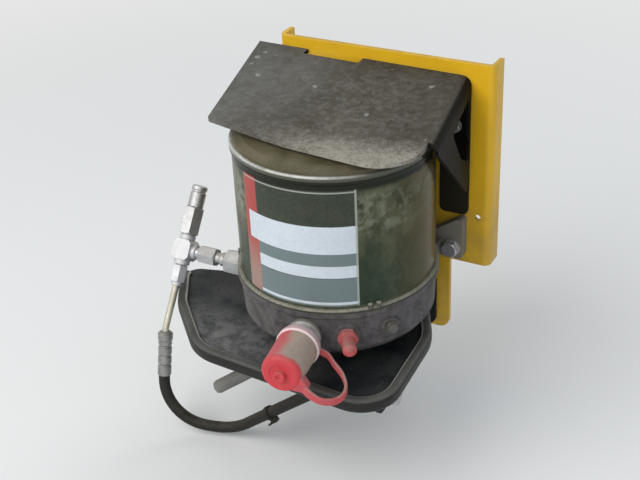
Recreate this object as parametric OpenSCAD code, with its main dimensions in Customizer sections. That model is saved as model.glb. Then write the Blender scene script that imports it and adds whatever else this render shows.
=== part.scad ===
// Central grease pump unit: clear reservoir on a round pump housing, with its
// sheet hood, edged shelf, filler, outlet fittings and the carrier it bolts to.
// X runs along the wall, Y into the wall and Z up. The origin is the centre of
// the four frame bolts, on the back face of the carrier.

/* [Reservoir] */
// Outer radius of the clear reservoir
tank_r = 80; // [70:1:90]
// Height of the reservoir wall, from the housing to its top bead
tank_h = 117; // [105:1:132]
// Wall thickness of the reservoir
tank_wall = 3; // [2:0.5:4]
// Depth of grease left in the reservoir
grease_h = 52; // [20:1:95]
// Rise of the domed lid above the bead
lid_rise = 7; // [4:0.5:8]

/* [Pump housing] */
// Height of the round housing
housing_h = 40; // [36:1:44]
// Clearance between the reservoir's wall and the carrier
wall_gap = 10; // [9:0.5:20]
// Thickness of the mounting flange
flange_t = 10; // [8:1:12]
// Distance of each mounting bolt from the middle
ear_x = 67.5; // [64:0.5:72]
// Height of the mounting bolts, below the reservoir's foot
ear_z = -16; // [-19:1:-14]
// Radius of the motor cover under the housing
motor_r = 49; // [42:1:50]
// Height of the motor cover
motor_h = 66; // [50:1:75]

/* [Filler] */
// Height of all the ports, below the reservoir's foot
port_z = -20; // [-22:1:-18]
// Direction of the filler, in degrees from straight ahead
filler_angle = 9; // [0:1:14]
// Outer radius of the filler cap
cap_r = 16.5; // [16:0.5:19]
// Length of the filler cap
cap_len = 41; // [34:1:46]
// Radius of the filler nose inside the cap
nose_r = 14; // [12:0.5:15]
// Running gap between the filler nose and the cap
cap_gap = 0.3; // [0.2:0.1:0.6]
// Direction of the small red plug, in degrees from straight ahead
plug_angle = 32; // [30:1:38]

/* [Outlet line] */
// How far the pump element lies in front of the pump's axis
element_y = 13; // [0:1:20]
// Distance from the housing's element port to the tee
line_reach = 63; // [58:1:74]
// Lean of the tee, its top towards the wall, in degrees
tee_lean = 35; // [20:1:45]
// Outer radius of the outlet pipe
pipe_r = 3; // [2:0.5:4]
// Straight length of the outlet pipe
pipe_len = 36; // [24:1:44]
// Outer diameter of the feed hose
hose_d = 10; // [8:0.5:11]
// Radius of the feed hose's bends
hose_bend = 42; // [36:1:44]

/* [Hood] */
// Sheet thickness of the hood
hood_t = 3; // [2:0.5:3]
// Height of the hood's back edge above the reservoir's bead
hood_rise = 22; // [20:1:32]
// Fall of the hood towards the front, in degrees
hood_fall = 4; // [2:0.5:4]
// Outer bend radius between the hood's top and its side
hood_bend = 8; // [6:1:12]
// Length of the hood's side along the bend
side_len = 110; // [90:1:120]
// Drop of the hood's side at its lowest tip
side_drop = 101; // [90:1:110]

/* [Shelf] */
// Height of the shelf's top face, below the reservoir's foot
shelf_z = -58; // [-64:1:-54]
// Sheet thickness of the shelf
shelf_t = 4; // [3:0.5:5]
// Height of the rubber edge
edge_h = 12; // [10:0.5:14]
// Width of the rubber edge
edge_w = 9; // [7:0.5:11]

/* [Carrier] */
// Width of the carrier
carrier_w = 196; // [186:1:210]
// Depth of the carrier's folded sides
carrier_depth = 20; // [16:1:26]
// Sheet thickness of the carrier
carrier_t = 4; // [3:0.5:5]
// Sideways spacing of the frame bolts
mount_x = 84; // [76:1:90]
// Upright spacing of the frame bolts
mount_z = 170; // [164:1:176]
// Radius of the frame bolt holes
mount_r = 5.5; // [4.5:0.5:6.5]

/* [Hidden] */
$fn = 64;

front_y = -carrier_depth;              // front face of the carrier's web
pump_reach = tank_r + wall_gap;        // from the pump's axis to that face
axis_y = front_y - pump_reach;         // the pump's own axis
slack = 0.5;                           // radial play of a bolt in its hole
over = 1;                              // how far a cut runs past a face
m6 = 3;                                // shank radii of the two bolt sizes
m8 = 4;
body_r = tank_r + 1;                   // the housing's body
boss_h = 2;                            // how far the port bosses stand out
boss_face = body_r + boss_h;
tee_x = boss_face + line_reach;

// Colours
yellow = [0.87, 0.71, 0.13];
sheet_black = [0.2, 0.18, 0.16];
cast_grey = [0.25, 0.23, 0.22];
zinc = [0.75, 0.76, 0.78];
signal_red = [0.83, 0.16, 0.22];
rubber_black = [0.12, 0.12, 0.12];

// Rounded outlines. Each corner is a point with a radius, turned into an arc
function unit(v) = v / norm(v);
function half_angle(p, a, b) = acos(unit(a - p) * unit(b - p)) / 2;
function to_centre(p, a, b) = unit(unit(a - p) + unit(b - p)) / sin(half_angle(p, a, b));
function corner_arc(p, a, b, r, n) =
    let (half = half_angle(p, a, b),
        c = p + r * to_centre(p, a, b),
        u = unit(p + r / tan(half) * unit(a - p) - c),
        v = unit(p - a))
    r == 0 ? [p] : [for (i = [0:n]) let (t = (180 - 2 * half) * i / n) c + r * (u * cos(t) + v * sin(t))];
function rounded(pts, radii, n = 8) = let (m = len(pts))
    [for (i = [0:m - 1])
        each corner_arc(pts[i], pts[(i + m - 1) % m], pts[(i + 1) % m], radii[i], n)];
// A convex outline moved inwards by d, or outwards where d is negative
function inset(pts, d) = let (m = len(pts))
    [for (i = [0:m - 1]) pts[i] + d * to_centre(pts[i], pts[(i + m - 1) % m], pts[(i + 1) % m])];
function tighter(radii, d) = [for (r = radii) max(r - d, 0)];

// Places children on the pump's axis, on a port facing out at an angle, on a
// point of the wall face, on the pump element's line or on the leaning tee
module at_pump() translate([0, axis_y, 0]) children();
module at_port(angle) at_pump() translate([0, 0, port_z]) rotate([0, 0, angle]) rotate([90, 0, 0])
    children();
module on_wall(x, z, y = front_y) translate([x, y, z]) rotate([90, 0, 0]) children();
module at_element(x) at_pump() translate([-x, -element_y, port_z]) rotate([0, -90, 0]) children();
module at_tee() at_pump() translate([-tee_x, -element_y, port_z]) rotate([-tee_lean, 0, 0])
    children();
module sheet(outline, t) linear_extrude(t) polygon(outline);
// A hexagon whose corners are turned down at one end or at both
module hex(across, h, foot = true, top = true) {
    face = across * 0.475;
    corner = across * 0.6;
    turned = (corner - face) * tan(30);
    intersection() {
        cylinder(d = across / cos(30), h = h, $fn = 6);
        rotate_extrude() polygon([[0, 0], [foot ? face : corner, 0], [corner, foot ? turned : 0],
            [corner, top ? h - turned : h], [top ? face : corner, h], [0, h]]);
    }
}

// Carrier: a folded channel with four stand-off bushes for the frame bolts
shelf_fold = 48;
hood_z = tank_h + hood_rise;
hood_side = tank_r - 1.5;
margin = 12;
web_top = hood_z + 11;
web_foot = ear_z - 18;
shelf_foot = shelf_z - shelf_fold;
tongue_foot = shelf_foot - 2;
tongue_w = 124;
tongue_lap = 20;
bend_in = 2;
witness_at = [86.5, 12];
witness_r = 2.75;
mounts = [for (x = [-1, 1], z = [-1, 1]) [x * mount_x / 2, z * mount_z / 2]];
low_bolt_drop = 43;
high_bolt_drop = 17;
high_bolt_x = 4;
shelf_bolt_x = 16;
low_bolt_in = margin + 0.5;
hood_bolt_places = [[hood_side - low_bolt_in, hood_z - low_bolt_drop],
    [high_bolt_x, hood_z - high_bolt_drop]];
shelf_bolt_places = [for (side = [-1, 1]) [side * shelf_bolt_x, shelf_foot + shelf_bolt_x + m8]];

module carrier_profile() {
    w = carrier_w / 2;
    t = carrier_t;
    polygon(rounded(
        [[-w, 0], [-w, front_y], [w, front_y], [w, 0],
            [w - t, 0], [w - t, front_y + t], [t - w, front_y + t], [t - w, 0]],
        [0, t + bend_in, t + bend_in, 0, 0, bend_in, bend_in, 0], 6));
}
// A round hole through the carrier's web, and through what lies on it
module wall_hole(place, r, front = over) on_wall(place[0], place[1], front_y + carrier_t + over)
    cylinder(r = r, h = carrier_t + over + front);
module carrier() color(yellow) difference() {
    union() {
        translate([0, 0, web_foot]) linear_extrude(web_top - web_foot) carrier_profile();
        on_wall(0, 0, front_y + carrier_t) sheet(rounded(
            [[-tongue_w / 2, tongue_foot], [tongue_w / 2, tongue_foot],
                [tongue_w / 2, web_foot + tongue_lap], [-tongue_w / 2, web_foot + tongue_lap]],
            [10, 10, 0, 0]), carrier_t);
        for (m = mounts) on_wall(m[0], m[1], 0)
            cylinder(r = mount_r * 2, h = carrier_depth - carrier_t / 2);
    }
    for (m = mounts) on_wall(m[0], m[1], over) cylinder(r = mount_r, h = carrier_depth + 2 * over);
    for (side = [-1, 1]) {
        wall_hole([side * ear_x, ear_z], m8 + slack);
        wall_hole([side * witness_at[0], witness_at[1]], witness_r);
    }
    for (b = concat(hood_bolt_places, shelf_bolt_places)) wall_hole(b, m6 + slack);
}

// A bolt from the front, through a grip of plates, with its nut behind the web
module bolt(r, grip) {
    head = r * 1.3;
    nut = r * 1.6;
    washer = r * 0.4;
    tail = r * 0.4;
    translate([0, 0, grip]) cylinder(r = r * 2, h = washer);
    translate([0, 0, grip + washer]) hex(r * 3.25, head, foot = false);
    translate([0, 0, -carrier_t - nut - tail]) cylinder(r = r, h = tail + nut + carrier_t + grip + washer);
    translate([0, 0, -carrier_t - nut]) hex(r * 3.25, nut);
}

// Hood: one sheet, bent down at the right and back along the wall
skew = 9.3;
flare = 13.5;
hood_corner = [hood_side, front_y, hood_z];
hood_front = tank_r - 14;
hood_left = tank_r + 5;
hood_past = 30;
// The bend's inner line, as a distance along the wall at a distance in front
function bend_x(y) = hood_side + (pump_reach - y) * tan(skew) - hood_bend / cos(skew);
hood_plan = let (back = pump_reach + hood_past, left = 20 - hood_front, lap = hood_t / 6)
    rounded([[-hood_left - (back - left) * tan(flare), back], [-hood_left, left], [-12, 6 - hood_front],
        [bend_x(-hood_front) + lap, -hood_front], [bend_x(back) + lap, back]],
        [0, 5, 260, 34, 0], 10);
// Outlines of the side, as distance from the wall and height below the bend
side_root = 66;
side_tip = 14;
side_plan = rounded(
    [[-40, 4], [-40, -side_root], [0, -side_root], [side_tip, -side_drop],
        [side_len, -hood_bend - 2], [side_len, 4]],
    [0, 0, 0, 4, 5, 0], 5);
side_window = rounded([[9, -15], [66, -17], [38, 12 - side_root], [9, -side_root - 8]], [4, 4, 5, 4], 5);
notch_from = -70;
notch_to = -18;
notch_depth = 9;
leg_w = 25.5;
leg_foot = ear_z + 30;
back_lap = 18;
back_from = high_bolt_x - back_lap;
back_foot = hood_z - low_bolt_drop + margin;

module in_hood() translate(hood_corner) rotate([0, 0, skew]) rotate([hood_fall, 0, 0]) children();
module across_side(outline, from, width) translate([from, 0, 0]) rotate([90, 0, 90])
    linear_extrude(width) mirror([1, 0]) polygon(outline);
module hood_section(long) rotate([90, 0, 0]) linear_extrude(long) {
    across = hood_left * 3;
    down = side_drop + hood_bend;
    translate([-across, -hood_t]) square([across - hood_bend, hood_t]);
    translate([-hood_t, -down]) square([hood_t, down - hood_bend]);
    translate([-hood_bend, -hood_bend]) intersection() {
        difference() {
            circle(hood_bend);
            circle(hood_bend - hood_t);
        }
        square(hood_bend);
    }
}
module hood_sheet() {
    room = pump_reach * 4;
    intersection() {
        in_hood() translate([0, hood_past * 2, 0]) hood_section(pump_reach * 3);
        translate([-room, front_y - room, hood_z - room]) cube([room * 2, room, room * 2]);
        union() {
            at_pump() translate([0, 0, hood_z - side_root]) sheet(hood_plan, side_root * 2);
            in_hood() across_side(side_plan, -hood_bend, hood_bend + over);
        }
    }
}
module hood() color(sheet_black) difference() {
    union() {
        hood_sheet();
        on_wall(0, 0) sheet(rounded(
            [[back_from, hood_z - hood_t / 2], [back_from, back_foot],
                [hood_side - leg_w, back_foot], [hood_side - leg_w, leg_foot], [hood_side, leg_foot],
                [hood_side, hood_z - hood_bend], [hood_side - hood_bend, hood_z - hood_t / 2]],
            [0, 6, 8, 5, 5, 0, 0]), hood_t);
    }
    at_pump() translate([notch_from, pump_reach - notch_depth, hood_z - hood_bend])
        cube([notch_to - notch_from, notch_depth * 2, hood_bend * 2]);
    in_hood() across_side(side_window, -hood_bend, hood_bend + 2 * over);
    for (b = hood_bolt_places) wall_hole(b, m6 + slack, hood_t + over);
}
module hood_bolts() color(zinc) for (b = hood_bolt_places) on_wall(b[0], b[1]) bolt(m6, hood_t);

// Shelf: a flat sheet under the pump, with a flange folded down onto the
// carrier and a lug for the line union, and a rubber edge round its free rim
shelf_root = 50;
rim = [[-tee_x - 22, 12], [9 - tee_x, -40], [-tank_r - 6, -tank_r - 12],
    [tank_r + 8, -tank_r - 24], [tank_r + 1, 3], [shelf_root, 62]];
rim_radii = [14, 60, 45, 30, 60, 12];
shelf_plan = rounded(
    concat([[shelf_root, pump_reach], [-shelf_root, pump_reach], [-shelf_root, pump_reach / 2]], rim),
    concat([0, 0, 10], rim_radii));
motor_gap = 3;
lug_x = tank_r - 14;
lug_t = 3;
lug_w = 28;
line_y = 5 - motor_r - motor_gap - hose_d;    // keeps the hose clear of the motor cover
line_z = -78;
union_r = 6;
union_hex = 6;
union_across = 17;
union_root = 1;
locknut_h = 5;
union_nose = 7;

// What stays bare: a strip along the back, behind both ends of the edge
bare_back = let (a = rim[0], b = rim[len(rim) - 1], along = unit(b - a), in = [along[1], -along[0]])
    [a - pump_reach * along + in * edge_w, b + pump_reach * along + in * edge_w,
        b + pump_reach * along - in * pump_reach, a - pump_reach * along - in * pump_reach];

module edge_band(grow, low, high) translate([0, 0, low]) difference() {
    out = edge_w * 0.3 - grow;
    in = edge_w - out - 2 * grow;
    sheet(rounded(inset(rim, -out), tighter(rim_radii, -out)), high - low);
    translate([0, 0, -over]) sheet(rounded(inset(rim, in), tighter(rim_radii, in)), high - low + 2 * over);
}
module shelf() color(sheet_black) difference() {
    root = shelf_root;
    union() {
        at_pump() translate([0, 0, shelf_z - shelf_t]) sheet(shelf_plan, shelf_t);
        on_wall(0, 0) sheet(rounded(
            [[-root, shelf_z - shelf_t], [-root, shelf_foot], [root, shelf_foot],
                [root, shelf_z - shelf_t], [root, shelf_z], [-root, shelf_z]],
            [0, 8, 8, 0, 0, 0]), shelf_t);
        at_pump() translate([lug_x, line_y, 0]) rotate([90, 0, 90]) sheet(rounded(
            [[-lug_w / 2, shelf_z - shelf_t / 2], [-lug_w / 2, line_z - lug_w / 2],
                [lug_w / 2, line_z - lug_w / 2], [lug_w / 2, shelf_z - shelf_t / 2]],
            [0, 10, 10, 0]), lug_t);
    }
    at_pump() translate([0, 0, shelf_z - shelf_t - over])
        cylinder(r = motor_r + motor_gap, h = shelf_t + 2 * over);
    at_pump() translate([lug_x - over, line_y, line_z]) rotate([0, 90, 0])
        cylinder(r = union_r + slack, h = lug_t + 2 * over);
    for (m = mounts) wall_hole(m, mount_r, shelf_t + over);
    for (b = shelf_bolt_places) wall_hole(b, m6 + slack, shelf_t + over);
}
module shelf_edge() color(rubber_black) {
    mid = shelf_z - shelf_t / 2;
    shoulder = 1;
    at_pump() difference() {
        union() {
            edge_band(0, mid - edge_h / 2 + shoulder, mid + edge_h / 2 - shoulder);
            edge_band(shoulder, mid - edge_h / 2, mid + edge_h / 2);
        }
        translate([0, 0, shelf_z - shelf_t]) sheet(shelf_plan, shelf_t);
        translate([0, 0, mid - edge_h]) sheet(bare_back, edge_h * 2);
    }
}
module shelf_bolts() color(zinc) for (b = shelf_bolt_places) on_wall(b[0], b[1]) bolt(m6, shelf_t);

// Pump housing: a shallow round casting on a mounting flange, with its port
// bosses, stiffening ribs and the lugs that the motor cover is screwed to
rim_r = tank_r + 3;
rim_h = 4;
body_draft = 1.5;
foot_round = 6;
housing_profile = [[0, 0], [rim_r, 0], [rim_r, -rim_h], [body_r, -rim_h - 2],
    [body_r - body_draft, foot_round - housing_h], [body_r - foot_round, -housing_h], [0, -housing_h]];
flange_drop = 10;
flange_rise = 28;
flange_foot = ear_z - flange_drop;
flange_top = ear_z + flange_rise;
ear_past = 9.5;
ear_edge = ear_x + ear_past;
ear_in = 17.5;
ear_tip = 5;
ear_step = 15;
web_half = 36;
web_low = 3;                           // the web's top, below the reservoir's foot
web_start = body_r * 0.6;
rib_t = 6;
rib_in = 11.5;
rib_rise = 4;
rib_low = 8;                           // the ribs' tops, below the reservoir's foot
rib_start = body_r / 2;
ear_outline = rounded(
    [[-ear_edge, flange_foot], [ear_edge, flange_foot], [ear_edge, flange_top],
        [ear_edge - ear_tip, flange_top], [ear_x - ear_in, flange_top - ear_step],
        [ear_in - ear_x, flange_top - ear_step], [ear_tip - ear_edge, flange_top], [-ear_edge, flange_top]],
    [3, 3, 3, 4, 4, 4, 4, 3], 5);
boss_r = 13;
boss_root = 15;
plug_boss_r = 10;
screw_angle = 57;
screw_boss_r = 8;
lug_pitch = [45, 135, 225, 315];
cover_lip = 7;
cover_lug_r = 6;

module boss(angle, r) at_port(angle) translate([0, 0, body_r - boss_root])
    cylinder(r = r, h = boss_root + boss_h);
module pump_housing() color(cast_grey) difference() {
    into_flange = pump_reach - flange_t / 2;
    union() {
        at_pump() rotate_extrude() polygon(housing_profile);
        on_wall(0, 0) sheet(ear_outline, flange_t);
        at_pump() translate([-web_half, web_start, flange_foot])
            cube([web_half * 2, into_flange - web_start, -web_low - flange_foot]);
        for (side = [-1, 1]) at_pump()
            translate([side * (ear_x - rib_in) - rib_t / 2, rib_start, flange_foot + rib_rise])
                cube([rib_t, into_flange - rib_start, -rib_low - flange_foot - rib_rise]);
        boss(filler_angle, boss_r);
        boss(plug_angle, plug_boss_r);
        boss(screw_angle, screw_boss_r);
        at_element(body_r - boss_root) cylinder(r = boss_r, h = boss_root + boss_h);
    }
    for (side = [-1, 1]) wall_hole([side * ear_x, ear_z], m8 + slack, flange_t + over);
}
module pump_bolts() color(zinc) for (side = [-1, 1]) on_wall(side * ear_x, ear_z)
    bolt(m8, flange_t);

// Motor cover: a drawn cup under the housing with four screw lugs, and its
// power inlet, a gland with a round plug that points down and to the left
lip_h = 4;
drawn = 8;
dish_r = 24;
dish_h = 3;
motor_profile = [[0, 0], [motor_r + cover_lip, 0], [motor_r + cover_lip, -lip_h], [motor_r, -lip_h],
    [motor_r, drawn - motor_h], [motor_r - drawn * 0.29, drawn * 0.29 - motor_h],
    [motor_r - drawn, -motor_h], [dish_r, -motor_h], [dish_r - 4, dish_h - motor_h], [0, dish_h - motor_h]];
inlet_angle = -55;
inlet_dip = 25;
inlet_z = -67;
inlet_len = 70;
inlet_r = 6;
gland_r = inlet_r + 2;
gland_h = 8;
gland_from = 6;
plug_from = gland_h + 10;
module motor_cover() color(sheet_black) at_pump() translate([0, 0, -housing_h]) {
    rotate_extrude() polygon(motor_profile);
    for (a = lug_pitch) rotate([0, 0, a]) translate([motor_r + cover_lip, 0, -lip_h])
        cylinder(r = cover_lug_r, h = lip_h);
}
module power_inlet() color([0.5, 0.5, 0.5]) at_pump() difference() {
    seat = motor_r / cos(inlet_dip);
    translate([0, 0, inlet_z]) rotate([0, 0, inlet_angle]) rotate([90 + inlet_dip, 0, 0]) {
        rotate_extrude() polygon([[0, seat - gland_h], [gland_r, seat - gland_h],
            [gland_r, seat + 4], [inlet_r - 1, seat + 5], [inlet_r - 1, seat + plug_from - 1],
            [inlet_r, seat + plug_from], [inlet_r, seat + inlet_len - 4],
            [inlet_r - 1.2, seat + inlet_len - 1.2], [inlet_r - 4, seat + inlet_len],
            [0, seat + inlet_len]]);
        translate([0, 0, seat + gland_from]) hex(gland_r * 2, gland_h);
    }
    translate([0, 0, -housing_h - motor_h - over]) cylinder(r = motor_r, h = motor_h);
}

// Reservoir: a clear wall with a beaded top, its ring, lid and grease
ring_r = tank_r + 3;
ring_h = 3;
bead = 1.5;
bead_h = 6;
vent_r = 9;
vent_h = 2;
clip_r = 2;
clip_pair = 5;
clip_angles = [for (a = [45, 165, 285], past = [0, clip_pair]) a + past];
module reservoir() color([0.55, 0.6, 0.45, 0.5]) at_pump() rotate_extrude() polygon([
    [tank_r - tank_wall, 0], [tank_r, 0], [tank_r, tank_h - bead_h - 2], [tank_r + bead, tank_h - bead_h],
    [tank_r + bead, tank_h - 1], [tank_r + bead - 1, tank_h], [tank_r - tank_wall, tank_h]]);
module reservoir_ring() color(cast_grey) at_pump() {
    rotate_extrude() polygon([[tank_r, 0], [ring_r, 0], [ring_r, ring_h - 1], [ring_r - 1, ring_h],
        [tank_r, ring_h]]);
    for (a = clip_angles) rotate([0, 0, a]) translate([0, -tank_r - clip_r, 0])
        cylinder(r = clip_r, h = ring_h * 2);
}
module reservoir_lid() color([0.35, 0.34, 0.2]) at_pump() translate([0, 0, tank_h]) rotate_extrude()
    polygon([[0, 0], [tank_r - 1, 0], [tank_r - 1.6, lid_rise * 0.35], [tank_r - 8, lid_rise * 0.75],
        [tank_r - 26, lid_rise], [vent_r + 1, lid_rise], [vent_r, lid_rise + vent_h], [0, lid_rise + vent_h]]);
module grease() color([0.1, 0.16, 0.1]) at_pump()
    cylinder(r = tank_r - tank_wall, h = grease_h);

// Filler: a coupling nose with a groove for the strap's eye, and its cap with
// a collar at the mouth and a knob on its end
neck_r = 12;
eye_from = boss_face + 10;
eye_t = 4;
eye_w = 4.5;
cap_from = eye_from + eye_t;
cap_to = cap_from + cap_len;
cap_floor = 3;
collar = 1;
collar_len = 4;
nose_to = cap_to - cap_floor - 1;
knob_r = 5;
knob_h = 3.5;
shoulder_r = 4;
module filler_neck() color(zinc) at_port(filler_angle) rotate_extrude() polygon([
    [0, boss_face], [boss_r + 1, boss_face], [boss_r + 1, boss_face + 3], [neck_r, boss_face + 5],
    [neck_r, cap_from + 3], [nose_r, cap_from + 5], [nose_r, nose_to - 4],
    [nose_r - 3, nose_to], [6, nose_to], [5, nose_to - 16], [0, nose_to - 18]]);
module filler_cap() color(signal_red) at_port(filler_angle) rotate_extrude() {
    bore = nose_r + cap_gap;
    recess = 0.6;
    polygon(rounded(
        [[bore, cap_from], [cap_r + collar, cap_from], [cap_r + collar, cap_from + collar_len],
            [cap_r, cap_from + collar_len + collar], [cap_r - 0.5, cap_to], [knob_r + 4, cap_to],
            [knob_r + 3.5, cap_to - recess], [knob_r, cap_to - recess],
            [knob_r - 0.3, cap_to + knob_h], [2.5, cap_to + knob_h], [2, cap_to + knob_h - 1],
            [0, cap_to + knob_h - 1], [0, cap_to - cap_floor], [bore - 3, cap_to - cap_floor],
            [bore, nose_to - 3]],
        [0, 0.5, 0.7, 0, shoulder_r, 0, 0, 0, 1.2, 0, 0, 0, 0, 0, 0], 5));
}

// A section swept along a route, as one closed solid. A bent route is corners
// joined by arcs, and a smooth one passes through all its points
function tangent(p, i) = unit(p[min(i + 1, len(p) - 1)] - p[max(i - 1, 0)]);
function spline(a, b, c, d, t) = 0.5 * ((2 * b) + (c - a) * t
    + (2 * a - 5 * b + 4 * c - d) * t * t + (3 * b - a - 3 * c + d) * t * t * t);
function smooth(p, n) = let (m = len(p) - 1) concat([for (i = [0:m - 1], k = [0:n - 1])
    spline(p[max(i - 1, 0)], p[i], p[i + 1], p[min(i + 2, m)], k / n)], [p[m]]);
function bent(p, r, n) = let (m = len(p) - 1) concat([p[0]],
    [for (i = [1:m - 1]) each corner_arc(p[i], p[i - 1], p[i + 1], r, n)], [p[m]]);
module swept(route, w, t, sides, up) {
    m = len(route);
    points = [for (i = [0:m - 1]) let (d = tangent(route, i), u = unit(cross(d, up)), v = cross(u, d))
        for (k = [0:sides - 1]) let (a = 360 * (k + 0.5) / sides)
            route[i] + u * w / 2 * cos(a) + v * t / 2 * sin(a)];
    skin = [for (i = [0:m - 2], k = [0:sides - 1]) let (n = (k + 1) % sides)
        [i * sides + k, i * sides + n, (i + 1) * sides + n, (i + 1) * sides + k]];
    polyhedron(points, concat([[for (k = [sides - 1:-1:0]) k]], skin,
        [[for (k = [0:sides - 1]) (m - 1) * sides + k]]));
}

// Strap: an eye round the neck, and a band that loops out to the cap's end.
// Each point is its distance sideways past the cap's side, its height above
// the cap's axis, and its share of the cap's length from the eye
band_w = 6;
band_t = 2.4;
band_end = cap_r + band_w / 2 + cap_gap;
strap_loop = [[5, -9, 0], [11, -12, 0.1], [20, -16, 0.25], [26, -18.5, 0.45], [27.5, -20, 0.66],
    [23.5, -20.5, 0.85], [15, -18.5, 0.97], [6.5, -14.5, 0.98]];
lug_angle = 32;
strap_route = concat([[neck_r + eye_w / 2, -5, eye_from + eye_t - cap_gap - band_w / 2]],
    [for (p = strap_loop) [cap_r + p[0], p[1], eye_from + p[2] * (cap_to - eye_from)]],
    [[band_end * cos(lug_angle), -band_end * sin(lug_angle), cap_to - band_w / 2]]);
module cap_strap() color(signal_red) at_port(filler_angle) {
    translate([0, 0, eye_from]) difference() {
        cylinder(r = neck_r + eye_w, h = eye_t - cap_gap);
        translate([0, 0, -over]) cylinder(r = neck_r + cap_gap, h = eye_t + 2 * over);
    }
    swept(smooth(strap_route, 3), band_w, band_t, 8, [0, 1, 0]);
}

// Plugs on the spare ports
plug_hex = 7;
plug_r = 5.5;
plug_len = 15;
plug_across = plug_r * 2 + 3;
washer_r = 5;
washer_h = 1.6;
screw_across = 7;
screw_head = 4;
module port_plug() color(signal_red) at_port(plug_angle) translate([0, 0, boss_face]) {
    hex(plug_across, plug_hex);
    rotate_extrude() polygon([[0, 0], [plug_r, 0], [plug_r, plug_hex + plug_len - 2],
        [plug_r - 2, plug_hex + plug_len], [3, plug_hex + plug_len],
        [2.5, plug_hex + plug_len + 1.5], [0, plug_hex + plug_len + 1.5]]);
}
module blanking_screw() color(zinc) at_port(screw_angle) translate([0, 0, boss_face]) {
    cylinder(r = washer_r, h = washer_h);
    hex(screw_across, screw_head, foot = false);
}

// Outlet line: element, ring, union nut, forged tee, relief valve, pipe and
// crimped sleeve. The pipe's bend turns from the tee's lean to the sleeve's
element_across = 19;
element_hex = 18;
ring_len = 8;
nut_across = 14;
nut_from = 3;
nut_to = 4;
stub_r = 5;
tee_half = 13;
tee_arm = 7;
tee_body = 18;
tee_flat = 2;                          // the body is shallower than wide by this
tee_shoulder = 1.2;
tee_round = 0.75;
outlet_across = 12;
outlet_r = 5;
outlet_flare = 0.5;
outlet_foot = 3;
outlet_lip = 1;
nut_len = 19;
valve_across = 16;
valve_hex = 25;
valve_cap = 20;
valve_foot = 1;
socket_across = 5;
socket_deep = 4;
bend_r = 15;
sleeve_len = 42;
sleeve_r = 6;
sleeve_lean = 13;
sleeve_bend = tee_lean - sleeve_lean;
pipe_in = 8;
pipe_fit = 0.1;                        // radial clearance of the pipe in its nut

module pump_element() color(zinc) at_element(boss_face) {
    hex(element_across, element_hex);
    rotate_extrude() polygon([[0, 0], [stub_r, 0], [stub_r, element_hex + 1],
        [stub_r + 1, element_hex + 2.5], [stub_r + 1, element_hex + ring_len - 2.5],
        [stub_r, element_hex + ring_len - 1], [stub_r, element_hex + ring_len], [0, element_hex + ring_len]]);
}
module union_nut() color(zinc) at_element(boss_face + element_hex + ring_len) {
    long = line_reach - element_hex - ring_len - tee_half;
    translate([0, 0, nut_from]) hex(nut_across, long - nut_from - nut_to);
    cylinder(r = stub_r, h = long);
}
module tee() color(zinc) {
    at_tee() {
        translate([0, 0, -tee_half]) cylinder(r = tee_arm, h = tee_half * 2);
        intersection() {
            cube([tee_body, tee_body - tee_flat, tee_body], center = true);
            rotate([0, 45, 0])
                cube([tee_body * tee_shoulder, tee_body, tee_body * tee_shoulder], center = true);
            sphere(r = tee_body * tee_round);
        }
    }
    at_element(tee_x - tee_half) cylinder(r = stub_r + 1, h = tee_half);
}
module relief_valve() color(zinc) at_tee() translate([0, 0, tee_half]) {
    translate([0, 0, valve_foot]) hex(valve_across, valve_hex - valve_foot);
    difference() {
        rotate_extrude() polygon([[0, 0], [tee_arm - 0.6, 0], [tee_arm - 0.6, valve_hex],
            [tee_arm, valve_hex + 0.6], [tee_arm, valve_hex + valve_cap - 7],
            [tee_arm - 0.8, valve_hex + valve_cap - 6], [tee_arm - 0.8, valve_hex + valve_cap - 5],
            [tee_arm, valve_hex + valve_cap - 4], [tee_arm, valve_hex + valve_cap - 1.5],
            [tee_arm - 1.5, valve_hex + valve_cap], [0, valve_hex + valve_cap]]);
        translate([0, 0, valve_hex + valve_cap - socket_deep])
            cylinder(d = socket_across / cos(30), h = socket_deep + over, $fn = 6);
    }
}
module outlet_nut() color(zinc) at_tee() translate([0, 0, -tee_half - nut_len]) difference() {
    union() {
        translate([0, 0, outlet_foot]) hex(outlet_across, nut_len - outlet_foot - outlet_lip);
        cylinder(r1 = outlet_r - outlet_flare, r2 = outlet_r + outlet_flare,
            h = outlet_foot + outlet_flare);
        cylinder(r = outlet_r, h = nut_len);
    }
    translate([0, 0, -over]) cylinder(r = pipe_r + pipe_fit, h = pipe_in + over);
}
module at_bend() at_tee() translate([0, 0, -tee_half - nut_len - pipe_len]) children();
module at_sleeve() at_bend() translate([0, bend_r, 0]) rotate([sleeve_bend, 0, 0])
    translate([0, -bend_r, 0]) children();
module outlet_pipe() color(zinc) {
    at_bend() cylinder(r = pipe_r, h = pipe_len + pipe_in);
    at_bend() translate([0, bend_r, 0]) rotate([0, 90, 0]) rotate([0, 0, -90])
        rotate_extrude(angle = sleeve_bend) translate([bend_r, 0]) circle(pipe_r);
}
// A crimped sleeve: a chamfered nose, a collar, and grooves left by the crimp
groove = 1;
groove_pitch = 9;
groove_from = 12;
function grooves(long) = [for (z = [groove_from:groove_pitch:long - groove_pitch / 2])
    each [[sleeve_r, z], [sleeve_r - groove, z + groove], [sleeve_r - groove, z + 2 * groove],
        [sleeve_r, z + 3 * groove]]];
module sleeve(long) rotate_extrude() polygon(concat(
    [[0, 0], [sleeve_r - 1.5, 0], [sleeve_r + 0.6, 2], [sleeve_r + 0.6, 7], [sleeve_r, 8]],
    grooves(long), [[sleeve_r, long - 1], [sleeve_r - 1, long], [0, long]]));
module hose_sleeve() color(zinc) at_sleeve() mirror([0, 0, 1]) sleeve(sleeve_len);

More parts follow.
